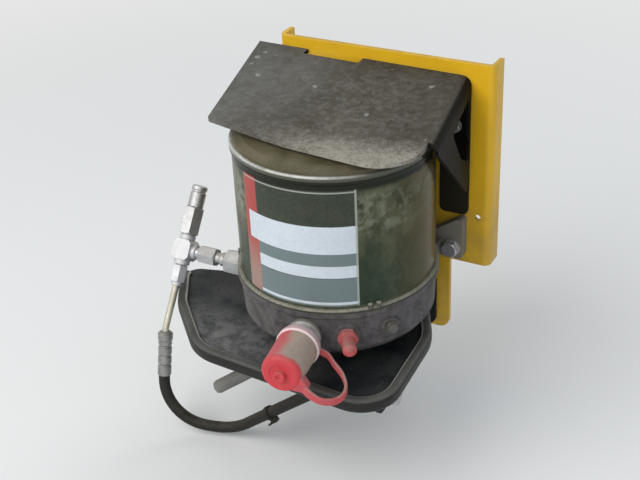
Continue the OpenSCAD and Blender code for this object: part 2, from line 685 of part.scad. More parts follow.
// Feed hose, from the first sleeve's foot, under the shelf to the line union
end_len = 18;
function down_line(lean) = [0, -sin(lean), -cos(lean)];
function off_line(lean) = [0, cos(lean), -sin(lean)];
sleeve_foot = [-tee_x, -element_y, port_z] + (tee_half + nut_len + pipe_len) * down_line(tee_lean)
    + bend_r * (off_line(tee_lean) - off_line(sleeve_lean)) + sleeve_len * down_line(sleeve_lean);
hose_in = 2;
hose_end = [lug_x - union_hex - end_len + hose_in, line_y, line_z];
hose_corners = [sleeve_foot - hose_in * down_line(sleeve_lean), sleeve_foot + 43 * down_line(sleeve_lean),
    [-85, -53, -171], [27, line_y, line_z], hose_end];
module feed_hose() color(rubber_black) at_pump()
    swept(bent(hose_corners, hose_bend, 8), hose_d, hose_d, 12, [0, 1, 0]);
module end_sleeve() color(zinc) at_pump() translate([lug_x - union_hex - end_len, line_y, line_z])
    rotate([0, 90, 0]) sleeve(end_len);
module line_union() color(zinc) at_pump() translate([lug_x, line_y, line_z]) rotate([0, 90, 0]) {
    translate([0, 0, -union_hex]) hex(union_across, union_hex);
    translate([0, 0, -union_root])
        cylinder(r = union_r, h = union_root + lug_t + locknut_h + union_nose);
    translate([0, 0, lug_t]) hex(union_across, locknut_h);
}

carrier();
hood();
hood_bolts();
shelf();
shelf_edge();
shelf_bolts();
pump_housing();
pump_bolts();
motor_cover();
power_inlet();
reservoir();
reservoir_ring();
reservoir_lid();
grease();
filler_neck();
filler_cap();
cap_strap();
port_plug();
blanking_screw();
pump_element();
union_nut();
tee();
relief_valve();
outlet_nut();
outlet_pipe();
hose_sleeve();
feed_hose();
end_sleeve();
line_union();
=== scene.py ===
# %% [markdown]
# # Dressing a grease pump unit
# This lesson takes the solids of a vehicle's grease pump, which a CAD program made, and gives them
# the looks of a unit that has worked in the field: smeared plastic, dusty powder coat, zinc and
# rubber. The solids keep their places. New pieces are modelled only where rubber, foil or a small
# fastener needs a softer or finer shape than the CAD solid has.

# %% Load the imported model
import math

import bpy
from mathutils import Matrix, Quaternion, Vector


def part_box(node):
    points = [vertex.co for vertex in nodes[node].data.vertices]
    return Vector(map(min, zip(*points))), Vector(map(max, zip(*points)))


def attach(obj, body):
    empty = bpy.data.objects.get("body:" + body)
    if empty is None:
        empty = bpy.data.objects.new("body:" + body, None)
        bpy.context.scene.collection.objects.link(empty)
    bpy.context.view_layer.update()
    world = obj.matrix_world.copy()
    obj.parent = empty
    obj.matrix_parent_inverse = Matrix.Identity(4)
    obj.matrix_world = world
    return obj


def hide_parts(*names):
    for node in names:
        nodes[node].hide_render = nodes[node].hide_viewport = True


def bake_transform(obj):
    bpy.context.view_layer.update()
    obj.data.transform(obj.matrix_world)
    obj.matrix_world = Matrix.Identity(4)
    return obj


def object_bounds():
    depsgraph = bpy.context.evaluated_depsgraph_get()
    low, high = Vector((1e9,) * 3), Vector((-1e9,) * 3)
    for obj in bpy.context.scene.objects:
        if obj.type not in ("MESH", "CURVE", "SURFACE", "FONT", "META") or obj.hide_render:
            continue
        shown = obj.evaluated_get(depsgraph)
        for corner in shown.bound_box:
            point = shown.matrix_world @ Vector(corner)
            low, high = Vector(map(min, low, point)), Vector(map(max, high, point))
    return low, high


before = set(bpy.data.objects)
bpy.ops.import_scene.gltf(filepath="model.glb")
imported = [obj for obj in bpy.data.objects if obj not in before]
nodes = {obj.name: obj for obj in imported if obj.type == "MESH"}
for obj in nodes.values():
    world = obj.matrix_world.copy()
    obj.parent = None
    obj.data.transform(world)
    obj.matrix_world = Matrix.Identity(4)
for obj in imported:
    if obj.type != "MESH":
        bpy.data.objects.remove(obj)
cad_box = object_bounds()
bpy.ops.object.select_all(action="DESELECT")
MM = 0.001
print(len(nodes), "solids, box", [round(x, 3) for corner in cad_box for x in corner])

# %% [markdown]
# ## The camera
# The camera stands where the photograph was taken from: ahead of the unit, to its right, and about
# thirty degrees above it. A long lens from that same place keeps the photograph's perspective while
# the unit fills the picture. The small roll is the tilt of the hand that held the camera.

# %% Camera
CAMERA_AT = Vector((0.3982, -0.8382, 0.5042))
AIM_AT = Vector((0.0224, -0.1782, 0.0598))
ROLL = math.radians(-2.81)
SENSOR_MM, LENS_MM = 36, 66.15

camera_data = bpy.data.cameras.new("camera")
camera_data.sensor_width = SENSOR_MM
camera_data.lens = LENS_MM
camera = bpy.data.objects.new("camera", camera_data)
bpy.context.scene.collection.objects.link(camera)
camera.location = CAMERA_AT
camera.rotation_mode = "QUATERNION"
level = (AIM_AT - CAMERA_AT).to_track_quat("-Z", "Y")
camera.rotation_quaternion = level @ Quaternion((0, 0, 1), ROLL)
bpy.context.scene.camera = camera
print("camera", round((AIM_AT - CAMERA_AT).length, 3), "m from the unit")

# %% [markdown]
# ## Measures that the pieces share
# The tank, the ports and the shelf all stand round the pump's upright axis. These few sizes come
# from the solids themselves, so that a label or a strap made here sits on what carries it.

# %% The pump's axis and the tank
tank_low, tank_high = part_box("reservoir")
AXIS_X = (tank_low.x + tank_high.x) / 2
AXIS_Y = (tank_low.y + tank_high.y) / 2
BEAD = 1.5 * MM
TANK_R = (tank_high.x - tank_low.x) / 2 - BEAD


def at_pump(x, y, z):
    """A point given in millimetres from the foot of the tank's axis."""
    return Vector((AXIS_X + x * MM, AXIS_Y + y * MM, z * MM))


print("tank radius", round(TANK_R, 4), "top", round(tank_high.z, 4), "axis at y", round(AXIS_Y, 4))

# %% [markdown]
# ## Lines that bend
# A hose, a rubber edge and a strap are each one section drawn along a line. Where the line turns, a
# real hose makes an arc, so each corner is rounded here into an arc that both straights touch.

# %% Rounded lines
def arc_round(corner, before, after, radius, steps):
    """The arc that rounds a corner, as points."""
    back, on = (before - corner).normalized(), (after - corner).normalized()
    half = back.angle(on) / 2
    centre = corner + (back + on).normalized() * radius / math.sin(half)
    start = corner + back * radius / math.tan(half)
    out, way = (start - centre).normalized(), -back
    sweep = math.pi - 2 * half
    turns = [sweep * i / steps for i in range(steps + 1)]
    return [centre + radius * (out * math.cos(t) + way * math.sin(t)) for t in turns]


def bent_line(corners, radii, steps):
    """An open line whose inner corners are rounded."""
    line = [corners[0]]
    for i in range(1, len(corners) - 1):
        line += arc_round(corners[i], corners[i - 1], corners[i + 1], radii[i - 1], steps)
    return line + [corners[-1]]


def length_of(line):
    """The length of a line of points."""
    return sum((b - a).length for a, b in zip(line, line[1:]))


square_corner = arc_round(Vector((1, 0, 0)), Vector((0, 0, 0)), Vector((1, 1, 0)), 1, 16)
print("a square corner of radius 1 becomes an arc", round(length_of(square_corner), 3), "long")

# %% [markdown]
# Blender's tools act on what is selected, in object mode or in edit mode. These helpers select one
# piece, go in and out of edit mode, close the seams that a tool leaves, and smooth the shading.
# The loaded solids come in selected, so they were deselected at the start.

# %% Selecting and editing
SAME_PLACE = 0.00001


def only(obj):
    """Selects one object alone, and makes it the one that operators act on."""
    bpy.ops.object.select_all(action="DESELECT")
    obj.select_set(True)
    bpy.context.view_layer.objects.active = obj
    return obj


def edit_all():
    """Goes into edit mode with the whole mesh selected."""
    bpy.ops.object.mode_set(mode="EDIT")
    bpy.ops.mesh.select_all(action="SELECT")


def end_edit():
    """Goes back to object mode."""
    bpy.ops.object.mode_set(mode="OBJECT")


def close_seams():
    """Merges doubled points and turns all faces outwards."""
    bpy.ops.mesh.remove_doubles(threshold=SAME_PLACE)
    bpy.ops.mesh.normals_make_consistent(inside=False)


def smooth(degrees=40):
    """Shades smooth, but for edges sharper than an angle."""
    bpy.ops.object.shade_smooth_by_angle(angle=math.radians(degrees))


print(len(bpy.context.selected_objects), "pieces are selected to begin with")

# %% [markdown]
# A section can be drawn along a line with a curve object: the curve is the line, and a second,
# closed curve is its section. Turned into a mesh at once, it becomes an ordinary closed solid. The
# section keeps its top towards the sky all the way, as a band does that lies flat.

# %% Sections along a line
def curve_through(name, points, closed=False, swell=None):
    """A curve through points, which can swell the section that is drawn along it."""
    data = bpy.data.curves.new(name, "CURVE")
    data.dimensions = "3D"
    data.twist_mode = "Z_UP"
    spline = data.splines.new("POLY")
    spline.points.add(len(points) - 1)
    for i, p in enumerate(points):
        spline.points[i].co = (*p, 1)
        spline.points[i].radius = swell[i] if swell else 1
    spline.use_cyclic_u = closed
    obj = bpy.data.objects.new(name, data)
    bpy.context.scene.collection.objects.link(obj)
    return obj


def drawn_along(name, line, section, swell=None):
    """A closed solid with one section all along a line. The section's points are in metres."""
    outline = curve_through(name + "_section", [(x, y, 0) for x, y in section], closed=True)
    outline.data.dimensions = "2D"
    obj = curve_through(name, line, swell=swell)
    obj.data.bevel_mode = "OBJECT"
    obj.data.bevel_object = outline
    obj.data.use_fill_caps = True
    only(obj)
    bpy.ops.object.convert(target="MESH")
    bpy.data.objects.remove(outline)
    edit_all()
    close_seams()
    end_edit()
    smooth()
    return obj


print("sections are drawn along lines that keep their top towards the sky")

# %% [markdown]
# ## The feed hose
# The hose leaves the crimped sleeve below the outlet line, turns under the shelf and runs up to the
# union in the shelf's lug. It is one quarter of a metre of ten millimetre grease hose, stiff enough
# to hold wide bends of its own. The photograph shows it from the sleeve to the shelf's edge.

# %% Feed hose
HOSE_R = 5 * MM
HOSE_BEND = 42 * MM
HOSE_SIDES, HOSE_STEPS = 24, 14
HOSE_CORNERS = [(-146, -63.33, -119.91), (-146, -73.45, -163.75), (-85, -53, -171), (27, -57, -78),
                (44, -57, -78)]
hose_line = bent_line([at_pump(*p) for p in HOSE_CORNERS], [HOSE_BEND] * 3, HOSE_STEPS)
turns = [math.tau * i / HOSE_SIDES for i in range(HOSE_SIDES)]
hose = drawn_along("hose", hose_line, [(HOSE_R * math.cos(t), HOSE_R * math.sin(t)) for t in turns])
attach(hose, "unit")
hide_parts("feed_hose")

# %% [markdown]
# A cut-off cable tie was left round the hose. Its band is a small rectangle with round corners, spun
# once round the hose, and its lock is a block with a chamfered rim and the stub of the band in it.
# These helpers shape such pieces at the origin and then stand them where they belong.

# %% Blocks, bands and joined pieces
def apply_place():
    """Puts a piece's place, turn and size into its mesh."""
    bpy.ops.object.transform_apply(location=True, rotation=True, scale=True)


def stand_at(obj, place, along, across):
    """Puts a piece that was shaped at the origin where it belongs, and applies that place."""
    third = along.cross(across)
    obj.matrix_world = Matrix((along, across, third)).transposed().to_4x4()
    obj.location = place
    only(obj)
    apply_place()


def block(name, size, chamfer):
    """A block at the origin with rounded edges, its size in millimetres."""
    bpy.ops.mesh.primitive_cube_add(size=1)
    obj = bpy.context.object
    obj.name = name
    obj.scale = [v * MM for v in size]
    apply_place()
    edit_all()
    bpy.ops.mesh.bevel(offset=chamfer * MM, segments=3, affect="EDGES")
    end_edit()
    return obj


def spun_ring(name, middle, way, out, width, thick, corner, steps=48):
    """A band that lies round a line: a rounded rectangle, spun once about it."""
    bpy.ops.mesh.primitive_plane_add(size=1)
    obj = bpy.context.object
    obj.name = name
    obj.scale = (thick * MM, width * MM, 1)
    apply_place()
    edit_all()
    bpy.ops.mesh.bevel(offset=corner * MM, segments=3, affect="VERTICES")
    end_edit()
    stand_at(obj, middle + out, out.normalized(), way)
    edit_all()
    bpy.ops.mesh.spin(steps=steps, angle=math.tau, center=middle, axis=way)
    bpy.ops.mesh.select_all(action="SELECT")
    close_seams()
    end_edit()
    smooth()
    return obj


def joined(name, pieces):
    """Several pieces made one object."""
    only(pieces[0])
    for piece in pieces[1:]:
        piece.select_set(True)
    bpy.ops.object.join()
    pieces[0].name = name
    smooth()
    return pieces[0]


print("blocks, bands and joined pieces can be made")

# %% [markdown]
# The tie sits a third of the way down the hose's longest straight. Its lock hangs below the hose,
# because the heavy side of a loose tie turns down, and the stub sticks out of it sideways.

# %% Cable tie
TIE_SHARE = 0.306
TIE_W, TIE_T, TIE_ROUND = 4.6, 1.3, 0.4
LOCK_SIZE, LOCK_CHAMFER, LOCK_DOWN = (4.5, 6.4, 5.4), 0.8, 2.6
STUB_LONG, STUB_OUT, STUB_SLIMMER = 9, 4, 0.4
straight = max(range(len(hose_line) - 1), key=lambda i: (hose_line[i + 1] - hose_line[i]).length)
tie_at = hose_line[straight].lerp(hose_line[straight + 1], TIE_SHARE)
tie_way = (hose_line[straight + 1] - hose_line[straight]).normalized()
tie_side = tie_way.cross(Vector((0, 0, 1))).normalized()
tie_down = tie_way.cross(tie_side).normalized()
tie_down = tie_down if tie_down.z < 0 else -tie_down
lock_at = tie_at + tie_down * (HOSE_R + LOCK_DOWN * MM)
to_band = tie_down * (HOSE_R + TIE_T / 2 * MM)
tie_band = spun_ring("tie_band", tie_at, tie_way, to_band, TIE_W, TIE_T, TIE_ROUND)
tie_lock = block("tie_lock", LOCK_SIZE, LOCK_CHAMFER)
stand_at(tie_lock, lock_at, tie_down, tie_way)
tie_stub = block("tie_stub", (TIE_T, TIE_W - STUB_SLIMMER, STUB_LONG), TIE_ROUND)
stand_at(tie_stub, lock_at + tie_side * STUB_OUT * MM, tie_down, tie_way)
tie = joined("hose_tie", [tie_band, tie_lock, tie_stub])
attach(tie, "unit")
print("tie at", [round(v, 4) for v in tie_at], len(tie.data.polygons), "faces")

# %% [markdown]
# ## The rubber edge
# The shelf's free rim carries a pushed-on rubber profile, so that nobody cuts a hand on the sheet.
# The CAD solid has plain chamfers. The real profile is round outside, and it follows the rim's
# rounded corners, so its true section is drawn along the rim here.

# %% Rubber edge
RIM = [(-168, 12), (-137, -40), (-86, -92), (88, -104), (81, 3), (50, 62)]
RIM_RADII = [14, 60, 45, 30, 60, 12]
RIM_STEPS = 12
EDGE_W, EDGE_H, EDGE_Z, EDGE_ROUND = 9, 12, -60, 3.4
EDGE_IN = 1.8


def round_section(across, high, corner, steps=5):
    """A rectangle with round corners, as an outline round the origin."""
    outline = []
    for quarter in range(4):
        sx = 1 if quarter in (0, 3) else -1
        sy = 1 if quarter in (0, 1) else -1
        cx, cy = sx * (across / 2 - corner), sy * (high / 2 - corner)
        for i in range(steps + 1):
            t = math.radians(90 * (quarter + i / steps))
            outline.append((cx + corner * math.cos(t), cy + corner * math.sin(t)))
    return outline


def offset_line(points, d):
    """A closed outline moved inwards by d, with the inside on the left of its line."""
    moved = []
    for i, p in enumerate(points):
        back = (points[i - 1] - p).normalized()
        on = (points[(i + 1) % len(points)] - p).normalized()
        moved.append(p + (back + on).normalized() * d / math.sin(back.angle(on) / 2))
    return moved


rim_corners = offset_line([at_pump(x, y, EDGE_Z) for x, y in RIM], EDGE_IN * MM)
rim_line = []
for i, corner in enumerate(rim_corners):
    after = rim_corners[(i + 1) % len(rim_corners)]
    rim_line += arc_round(corner, rim_corners[i - 1], after, (RIM_RADII[i] - EDGE_IN) * MM, RIM_STEPS)
back_from, back_to = at_pump(*RIM[0], EDGE_Z), at_pump(*RIM[-1], EDGE_Z)
back_in = (back_to - back_from).normalized().cross(Vector((0, 0, 1)))
edge_line = [p for p in rim_line if (p - back_from).dot(back_in) > EDGE_W * MM]
edge_section = round_section(EDGE_W * MM, EDGE_H * MM, EDGE_ROUND * MM)
edge_trim = drawn_along("edge_trim", edge_line, edge_section)
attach(edge_trim, "unit")
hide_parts("shelf_edge")
print("edge", round(length_of(edge_line), 3), "m long,", len(edge_trim.data.polygons), "faces")

# %% [markdown]
# ## The cap's strap
# A soft plastic strap keeps the cap on the unit: an eye lies in the groove behind the cap, and a
# flat band loops out to a thick lug on the cap's rim. It crosses the joint between unit and cap. The
# real strap bends when the cap is pulled off; here it is one solid in its resting shape.

# %% Strap
FILLER_ANGLE = math.radians(9)
PORT_Z = -20
NECK_R, EYE_W, EYE_T = 12, 4.5, 4
CAP_R, CAP_FROM, CAP_TO, CAP_GAP = 16.5, 97, 138, 0.3
EYE_FROM = CAP_FROM - EYE_T
BAND_W, BAND_T, BAND_ROUND, BAND_STEPS = 6, 2.4, 1.0, 8
SWELL_FROM, SWELL_BY = 0.8, 0.35
TAB_OUT = CAP_R + BAND_W / 2 + CAP_GAP
TAB_ANGLE = math.radians(-32)
# Each point of the loop: past the cap's side, above its axis, and its share of the way out
LOOP = [(5, -9, 0), (11, -12, 0.1), (20, -16, 0.25), (26, -18.5, 0.45), (27.5, -20, 0.66),
        (23.5, -20.5, 0.85), (15, -18.5, 0.97), (6.5, -14.5, 0.98)]
LOOP_LOW = -5
LOOP_FROM = (NECK_R + EYE_W / 2, LOOP_LOW, CAP_FROM - CAP_GAP - BAND_W / 2)
LOOP_TO = (TAB_OUT * math.cos(TAB_ANGLE), TAB_OUT * math.sin(TAB_ANGLE), CAP_TO - BAND_W / 2)


def at_filler(x, y, out):
    """A point given in millimetres beside, above and out along the filler's axis."""
    c, s = math.cos(FILLER_ANGLE), math.sin(FILLER_ANGLE)
    return at_pump(x * c + out * s, x * s - out * c, PORT_Z + y)


def smooth_line(points, steps):
    """A smooth line through all its points, by the Catmull-Rom rule."""
    line, last = [], len(points) - 1
    for i in range(last):
        a, b = points[max(i - 1, 0)], points[i]
        c, d = points[i + 1], points[min(i + 2, last)]
        for k in range(steps):
            t = k / steps
            line.append(0.5 * (2 * b + (c - a) * t + (2 * a - 5 * b + 4 * c - d) * t * t
                               + (3 * b - a - 3 * c + d) * t * t * t))
    return line + [points[-1]]


strap_points = [at_filler(CAP_R + x, y, EYE_FROM + share * (CAP_TO - EYE_FROM)) for x, y, share in LOOP]
strap_line = smooth_line([at_filler(*LOOP_FROM)] + strap_points + [at_filler(*LOOP_TO)],
                         BAND_STEPS)
shares = [i / (len(strap_line) - 1) for i in range(len(strap_line))]
swell = [1 + SWELL_BY * max(0, (share - SWELL_FROM) / (1 - SWELL_FROM)) for share in shares]
band_section = round_section(BAND_T * MM, BAND_W * MM, BAND_ROUND * MM)
strap = drawn_along("strap", strap_line, band_section, swell)
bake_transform(strap)
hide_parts("cap_strap")
print("strap", round(length_of(strap_line), 3), "m long")

# %% [markdown]
# The eye is a flat washer with soft edges, so it is a ring like the cable tie's band, spun round the
# filler's axis.

# %% Strap's eye
EYE_MID = NECK_R + CAP_GAP + (EYE_W - CAP_GAP) / 2
EYE_ROUND = 1.0
filler_way = (at_filler(0, 0, 1) - at_filler(0, 0, 0)).normalized()
eye_centre = at_filler(0, 0, EYE_FROM + (EYE_T - CAP_GAP) / 2)
eye = spun_ring("strap_eye", eye_centre, filler_way, Vector((0, 0, EYE_MID * MM)), EYE_T - CAP_GAP,
                EYE_W - CAP_GAP, EYE_ROUND)
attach(eye, "unit")
print("eye", len(eye.data.polygons), "faces")

# %% [markdown]
# On the cap the strap ends in a thick tab. It is a block whose outer face is made smaller, so that
# it runs from the width of the cap's rim down to the width of the strap. Faces are selected here by
# their normal, as one would click them.

# %% Cap's tab
TAB_IN, TAB_PAST = 3.0, 3.0
TAB_LONG = TAB_OUT + TAB_PAST - (CAP_R - TAB_IN)
TAB_HIGH, TAB_WIDE, TAB_ROUND, TAB_BACK = 8.6, 15, 1.2, 5.2
TAB_TAPER = (1, 0.82, 0.46)


def pick_faces(obj, wanted):
    """Goes into edit mode with only the wanted faces selected."""
    only(obj)
    bpy.ops.object.mode_set(mode="EDIT")
    bpy.ops.mesh.select_mode(type="FACE")
    bpy.ops.mesh.select_all(action="DESELECT")
    end_edit()
    for face in obj.data.polygons:
        face.select = wanted(face)
    bpy.ops.object.mode_set(mode="EDIT")


tab_way = (at_filler(math.cos(TAB_ANGLE), math.sin(TAB_ANGLE), 0) - at_filler(0, 0, 0)).normalized()
bpy.ops.mesh.primitive_cube_add(size=1)
tab = bpy.context.object
tab.name = "cap_tab"
tab.scale = (TAB_LONG * MM, TAB_HIGH * MM, TAB_WIDE * MM)
apply_place()
pick_faces(tab, lambda face: face.normal.x > 0.9)
bpy.ops.transform.resize(value=TAB_TAPER)
bpy.ops.mesh.select_all(action="SELECT")
bpy.ops.mesh.bevel(offset=TAB_ROUND * MM, segments=3, affect="EDGES")
end_edit()
tab_middle = at_filler(0, 0, CAP_TO - TAB_BACK) + tab_way * (CAP_R - TAB_IN + TAB_LONG / 2) * MM
stand_at(tab, tab_middle, tab_way, filler_way)
smooth(50)
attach(tab, "cap")
print("tab", [round(v, 4) for v in tab.dimensions])

# %% [markdown]
# ## Weld seams
# The four bushes that stand off the machine's frame are welded to the back of the carrier. A weld
# is a string of small overlapping puddles. It starts here as a thin torus round the bush's foot, and
# its rings swell and shrink in turn, so that the seam ripples.

# %% Weld seams
BUSH_AT = [(x, z) for x in (-42, 42) for z in (-85, 85)]
BUSH_R, SEAM_R, SEAM_OFF = 11, 2.5, 0.3
SEAM_MID = (BUSH_R + SEAM_OFF) * MM
PUDDLES, RINGS_EACH, SEAM_SIDES = 22, 5, 10
PUDDLE_THIN, PUDDLE_SWELL, PUDDLE_UNEVEN = 0.75, 0.3, 0.08
BESIDE_BUSH, BEHIND_BACK = 14, 1
seams = []
for x, z in BUSH_AT:
    seen_from = Vector(((x - BESIDE_BUSH) * MM, BEHIND_BACK * MM, z * MM))
    foot = nodes["carrier"].ray_cast(seen_from, Vector((0, -1, 0)))[1]
    bpy.ops.mesh.primitive_torus_add(major_radius=SEAM_MID, minor_radius=SEAM_R * MM,
                                     major_segments=PUDDLES * RINGS_EACH, minor_segments=SEAM_SIDES,
                                     location=(0, 0, 0))
    seam = bpy.context.object
    for point in seam.data.vertices:
        turn = math.atan2(point.co.y, point.co.x)
        middle = Vector((math.cos(turn), math.sin(turn), 0)) * SEAM_MID
        ripple = PUDDLE_THIN + PUDDLE_SWELL * abs(math.cos(turn * PUDDLES / 2))
        ripple += PUDDLE_UNEVEN * math.sin(turn * 3 + x)
        point.co = middle + (point.co - middle) * ripple
    stand_at(seam, Vector((x * MM, foot.y, z * MM)), Vector((1, 0, 0)), Vector((0, 0, 1)))
    seams.append(seam)
welds = joined("bush_welds", seams)
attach(welds, "unit")
print("welds", len(welds.data.polygons), "faces, carrier's back at y", round(foot.y, 4))

# %% [markdown]
# ## The motor cover's screws
# Four socket screws hold the motor cover, one in each lug. A short cylinder gets a recess by inset
# and extrude, and a bevel breaks its rim. One is shaped, and the others are copies.

# %% Cover screws
SCREW_RING, SCREW_R, SCREW_H, SCREW_SIDES = 56, 4.2, 3.6, 24
SOCKET_WALL, SOCKET_DEEP, RIM_BREAK = 1.9, 2.2, 0.3
COVER_LIP = 4
LUG_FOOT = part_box("motor_cover")[1].z / MM - COVER_LIP
bpy.ops.mesh.primitive_cylinder_add(vertices=SCREW_SIDES, radius=SCREW_R * MM, depth=SCREW_H * MM)
screw = bpy.context.object
pick_faces(screw, lambda face: face.normal.z < -0.9)
bpy.ops.mesh.inset(thickness=SOCKET_WALL * MM)
bpy.ops.mesh.extrude_region_move(TRANSFORM_OT_translate={"value": (0, 0, SOCKET_DEEP * MM)})
end_edit()
rim = screw.modifiers.new("rim", "BEVEL")
rim.width = RIM_BREAK * MM
rim.segments = 2
rim.limit_method = "ANGLE"
bpy.ops.object.modifier_apply(modifier="rim")
screws = []
for quarter in range(4):
    turn = math.radians(45 + 90 * quarter)
    one = screw if quarter == 3 else screw.copy()
    if one is not screw:
        one.data = screw.data.copy()
        bpy.context.scene.collection.objects.link(one)
    one.location = at_pump(SCREW_RING * math.cos(turn), SCREW_RING * math.sin(turn), LUG_FOOT - SCREW_H / 2)
    only(one)
    apply_place()
    screws.append(one)
cover_screws = joined("cover_screws", screws)
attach(cover_screws, "unit")
print("cover screws", len(cover_screws.data.polygons), "faces, lug foot at", round(LUG_FOOT, 2), "mm")

# %% [markdown]
# ## The label
# A foil label covers the front of the tank from edge to edge, in plain fields of colour. It starts
# as an open cylinder round the tank, is cut down to its arc, and gets a foil's thickness.

# %% Label
LABEL_LOW, LABEL_HIGH = 5.5 * MM, 105.5 * MM
LABEL_LEFT, LABEL_RIGHT = -30.5, 39.5
LABEL_GAP, LABEL_T = 0.05 * MM, 0.2 * MM
LABEL_R = TANK_R + LABEL_GAP
LABEL_STEPS = 720


def angle_of(point):
    """Degrees round the tank from straight ahead, towards the right."""
    return math.degrees(math.atan2(point.x - AXIS_X, AXIS_Y - point.y))


bpy.ops.mesh.primitive_cylinder_add(vertices=LABEL_STEPS, radius=LABEL_R, depth=LABEL_HIGH - LABEL_LOW,
                                    end_fill_type="NOTHING",
                                    location=(AXIS_X, AXIS_Y, (LABEL_LOW + LABEL_HIGH) / 2))
label = bpy.context.object
label.name = "label"
apply_place()
pick_faces(label, lambda face: not LABEL_LEFT < angle_of(face.center) < LABEL_RIGHT)
bpy.ops.mesh.delete(type="FACE")
end_edit()
foil = label.modifiers.new("foil", "SOLIDIFY")
foil.thickness = LABEL_T
foil.offset = 1
bpy.ops.object.modifier_apply(modifier="foil")
smooth(30)
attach(label, "unit")
print("label", len(label.data.polygons), "faces", [round(v, 4) for v in label.dimensions])

# %% [markdown]
# ## Shader tools
# A shader is a tree of small nodes. This class holds one tree and has a short method for each kind
# of step used below: products and sums of masks, a smooth share between two limits, a mix of two
# colours. Colours are given as a screen shows them, which is how one reads them off a picture.

# %% Node trees
def srgb(*levels):
    """A colour as a screen shows it, 0 to 255, as the linear values that shaders use."""
    linear = [((v / 255 + 0.055) / 1.055) ** 2.4 if v > 10 else v / 255 / 12.92 for v in levels]
    return (*linear, 1)


class Nodes:
    """A node tree, with short ways to add nodes to it."""

    def __init__(self, name, tree):
        self.name = name
        self.tree = tree

    def put(self, kind, sockets=None, **settings):
        """A new node with its settings made and its sockets filled or linked."""
        node = self.tree.nodes.new(kind)
        for name, value in settings.items():
            setattr(node, name, value)
        for name, value in (sockets or {}).items():
            if isinstance(value, bpy.types.NodeSocket):
                self.link(value, node.inputs[name])
            else:
                node.inputs[name].default_value = value
        return node

    def link(self, value, socket):
        """Joins an output to a socket."""
        self.tree.links.new(value, socket)

    def maths(self, operation, *values, clamp=False):
        """One step of arithmetic."""
        sockets = dict(enumerate(values))
        return self.put("ShaderNodeMath", sockets, operation=operation, use_clamp=clamp).outputs[0]

    def times(self, product, *others):
        """The product of all that is given."""
        for value in others:
            product = self.maths("MULTIPLY", product, value)
        return product

    def plus(self, a, b, clamp=False):
        """A sum, which can be kept between 0 and 1."""
        return self.maths("ADD", a, b, clamp=clamp)

    def minus(self, a, b):
        """What is left of a without b."""
        return self.maths("SUBTRACT", a, b)

    def most(self, a, b):
        """The larger of two values."""
        return self.maths("MAXIMUM", a, b)

    def dot(self, a, b):
        """How far two directions agree: 1 where they are the same."""
        return self.put("ShaderNodeVectorMath", {0: a, 1: b}, operation="DOT_PRODUCT").outputs["Value"]

    def mixed(self, mask, a, b):
        """A mix of two colours, each a socket or three screen levels."""
        a, b = (srgb(*tone) if isinstance(tone, tuple) else tone for tone in (a, b))
        return self.put("ShaderNodeMix", {0: mask, 6: a, 7: b}, data_type="RGBA").outputs[2]

    def between(self, value, low, high, to_low=0.0, to_high=1.0):
        """A value between two limits, as a smooth share."""
        sockets = {0: value, 1: low, 2: high, 3: to_low, 4: to_high}
        return self.put("ShaderNodeMapRange", sockets, interpolation_type="SMOOTHSTEP").outputs[0]

    def position(self):
        """Where a point lies, in the object's own coordinates."""
        return self.put("ShaderNodeTexCoord").outputs["Object"]

    def normal(self):
        """Which way the surface faces, without bump or bevel."""
        return self.put("ShaderNodeNewGeometry").outputs["Normal"]

    def parts(self, vector):
        """The X, Y and Z of a vector."""
        return tuple(self.put("ShaderNodeSeparateXYZ", {0: vector}).outputs)

    def use(self, group, **values):
        """Places a group in this tree, and gives back its outputs."""
        sockets = {name.capitalize(): value for name, value in values.items()}
        return self.put("ShaderNodeGroup", sockets, node_tree=group.tree).outputs

    def mask(self, group, **values):
        """Places a group that makes one mask."""
        return self.use(group, **values)["Mask"]


print("mid grey, 188 on a screen, is", round(srgb(188, 188, 188)[0], 3), "in a shader")

# %% [markdown]
# Every material below is a few effects laid over one another: a grain, patches of a second tone,
# dust that settled on what faces up, wear where an edge was rubbed bright. Each effect is a node
# group, built once, that takes a few numbers and gives back a mask, a height or a normal.

# %% Node groups
class Group(Nodes):
    """A node group: its numbers come in through given, and its results go out through give."""

    def __init__(self, name, inputs, outputs):
        super().__init__(name, bpy.data.node_groups.new(name, "ShaderNodeTree"))
        sockets = self.tree.interface
        for title, value in inputs.items():
            sockets.new_socket(title, in_out="INPUT", socket_type="NodeSocketFloat").default_value = value
        for title, kind in outputs.items():
            sockets.new_socket(title, in_out="OUTPUT", socket_type="NodeSocket" + kind)
        self.given = self.tree.nodes.new("NodeGroupInput").outputs
        self.result = self.tree.nodes.new("NodeGroupOutput").inputs

    def give(self, **results):
        """Links what the group makes to its outputs."""
        for title, value in results.items():
            self.link(value, self.result[title])
        print("group", self.name, "with", len(self.tree.nodes), "nodes gives", *results)


print("effects can be kept as groups")

# %% [markdown]
# Sheet and castings have no knife-sharp edges. The Bevel node rounds the shading of an edge without
# new faces, and where its normal departs from the face's own there is an edge: that is the mask
# for wear.

# %% Group: soft edge
soft_edge = Group("soft_edge", {"Radius": 0.4 * MM}, {"Normal": "Vector", "Edge": "Float"})
rounded = soft_edge.put("ShaderNodeBevel", {0: soft_edge.given["Radius"]}, samples=6).outputs[0]
turned = soft_edge.dot(rounded, soft_edge.normal())
soft_edge.give(Normal=rounded, Edge=soft_edge.between(turned, 0.995, 0.8))

# %% [markdown]
# Patches are noise with its middle cut to a soft mask. Amount says how much of the surface they
# cover and Softness how wide their border is.

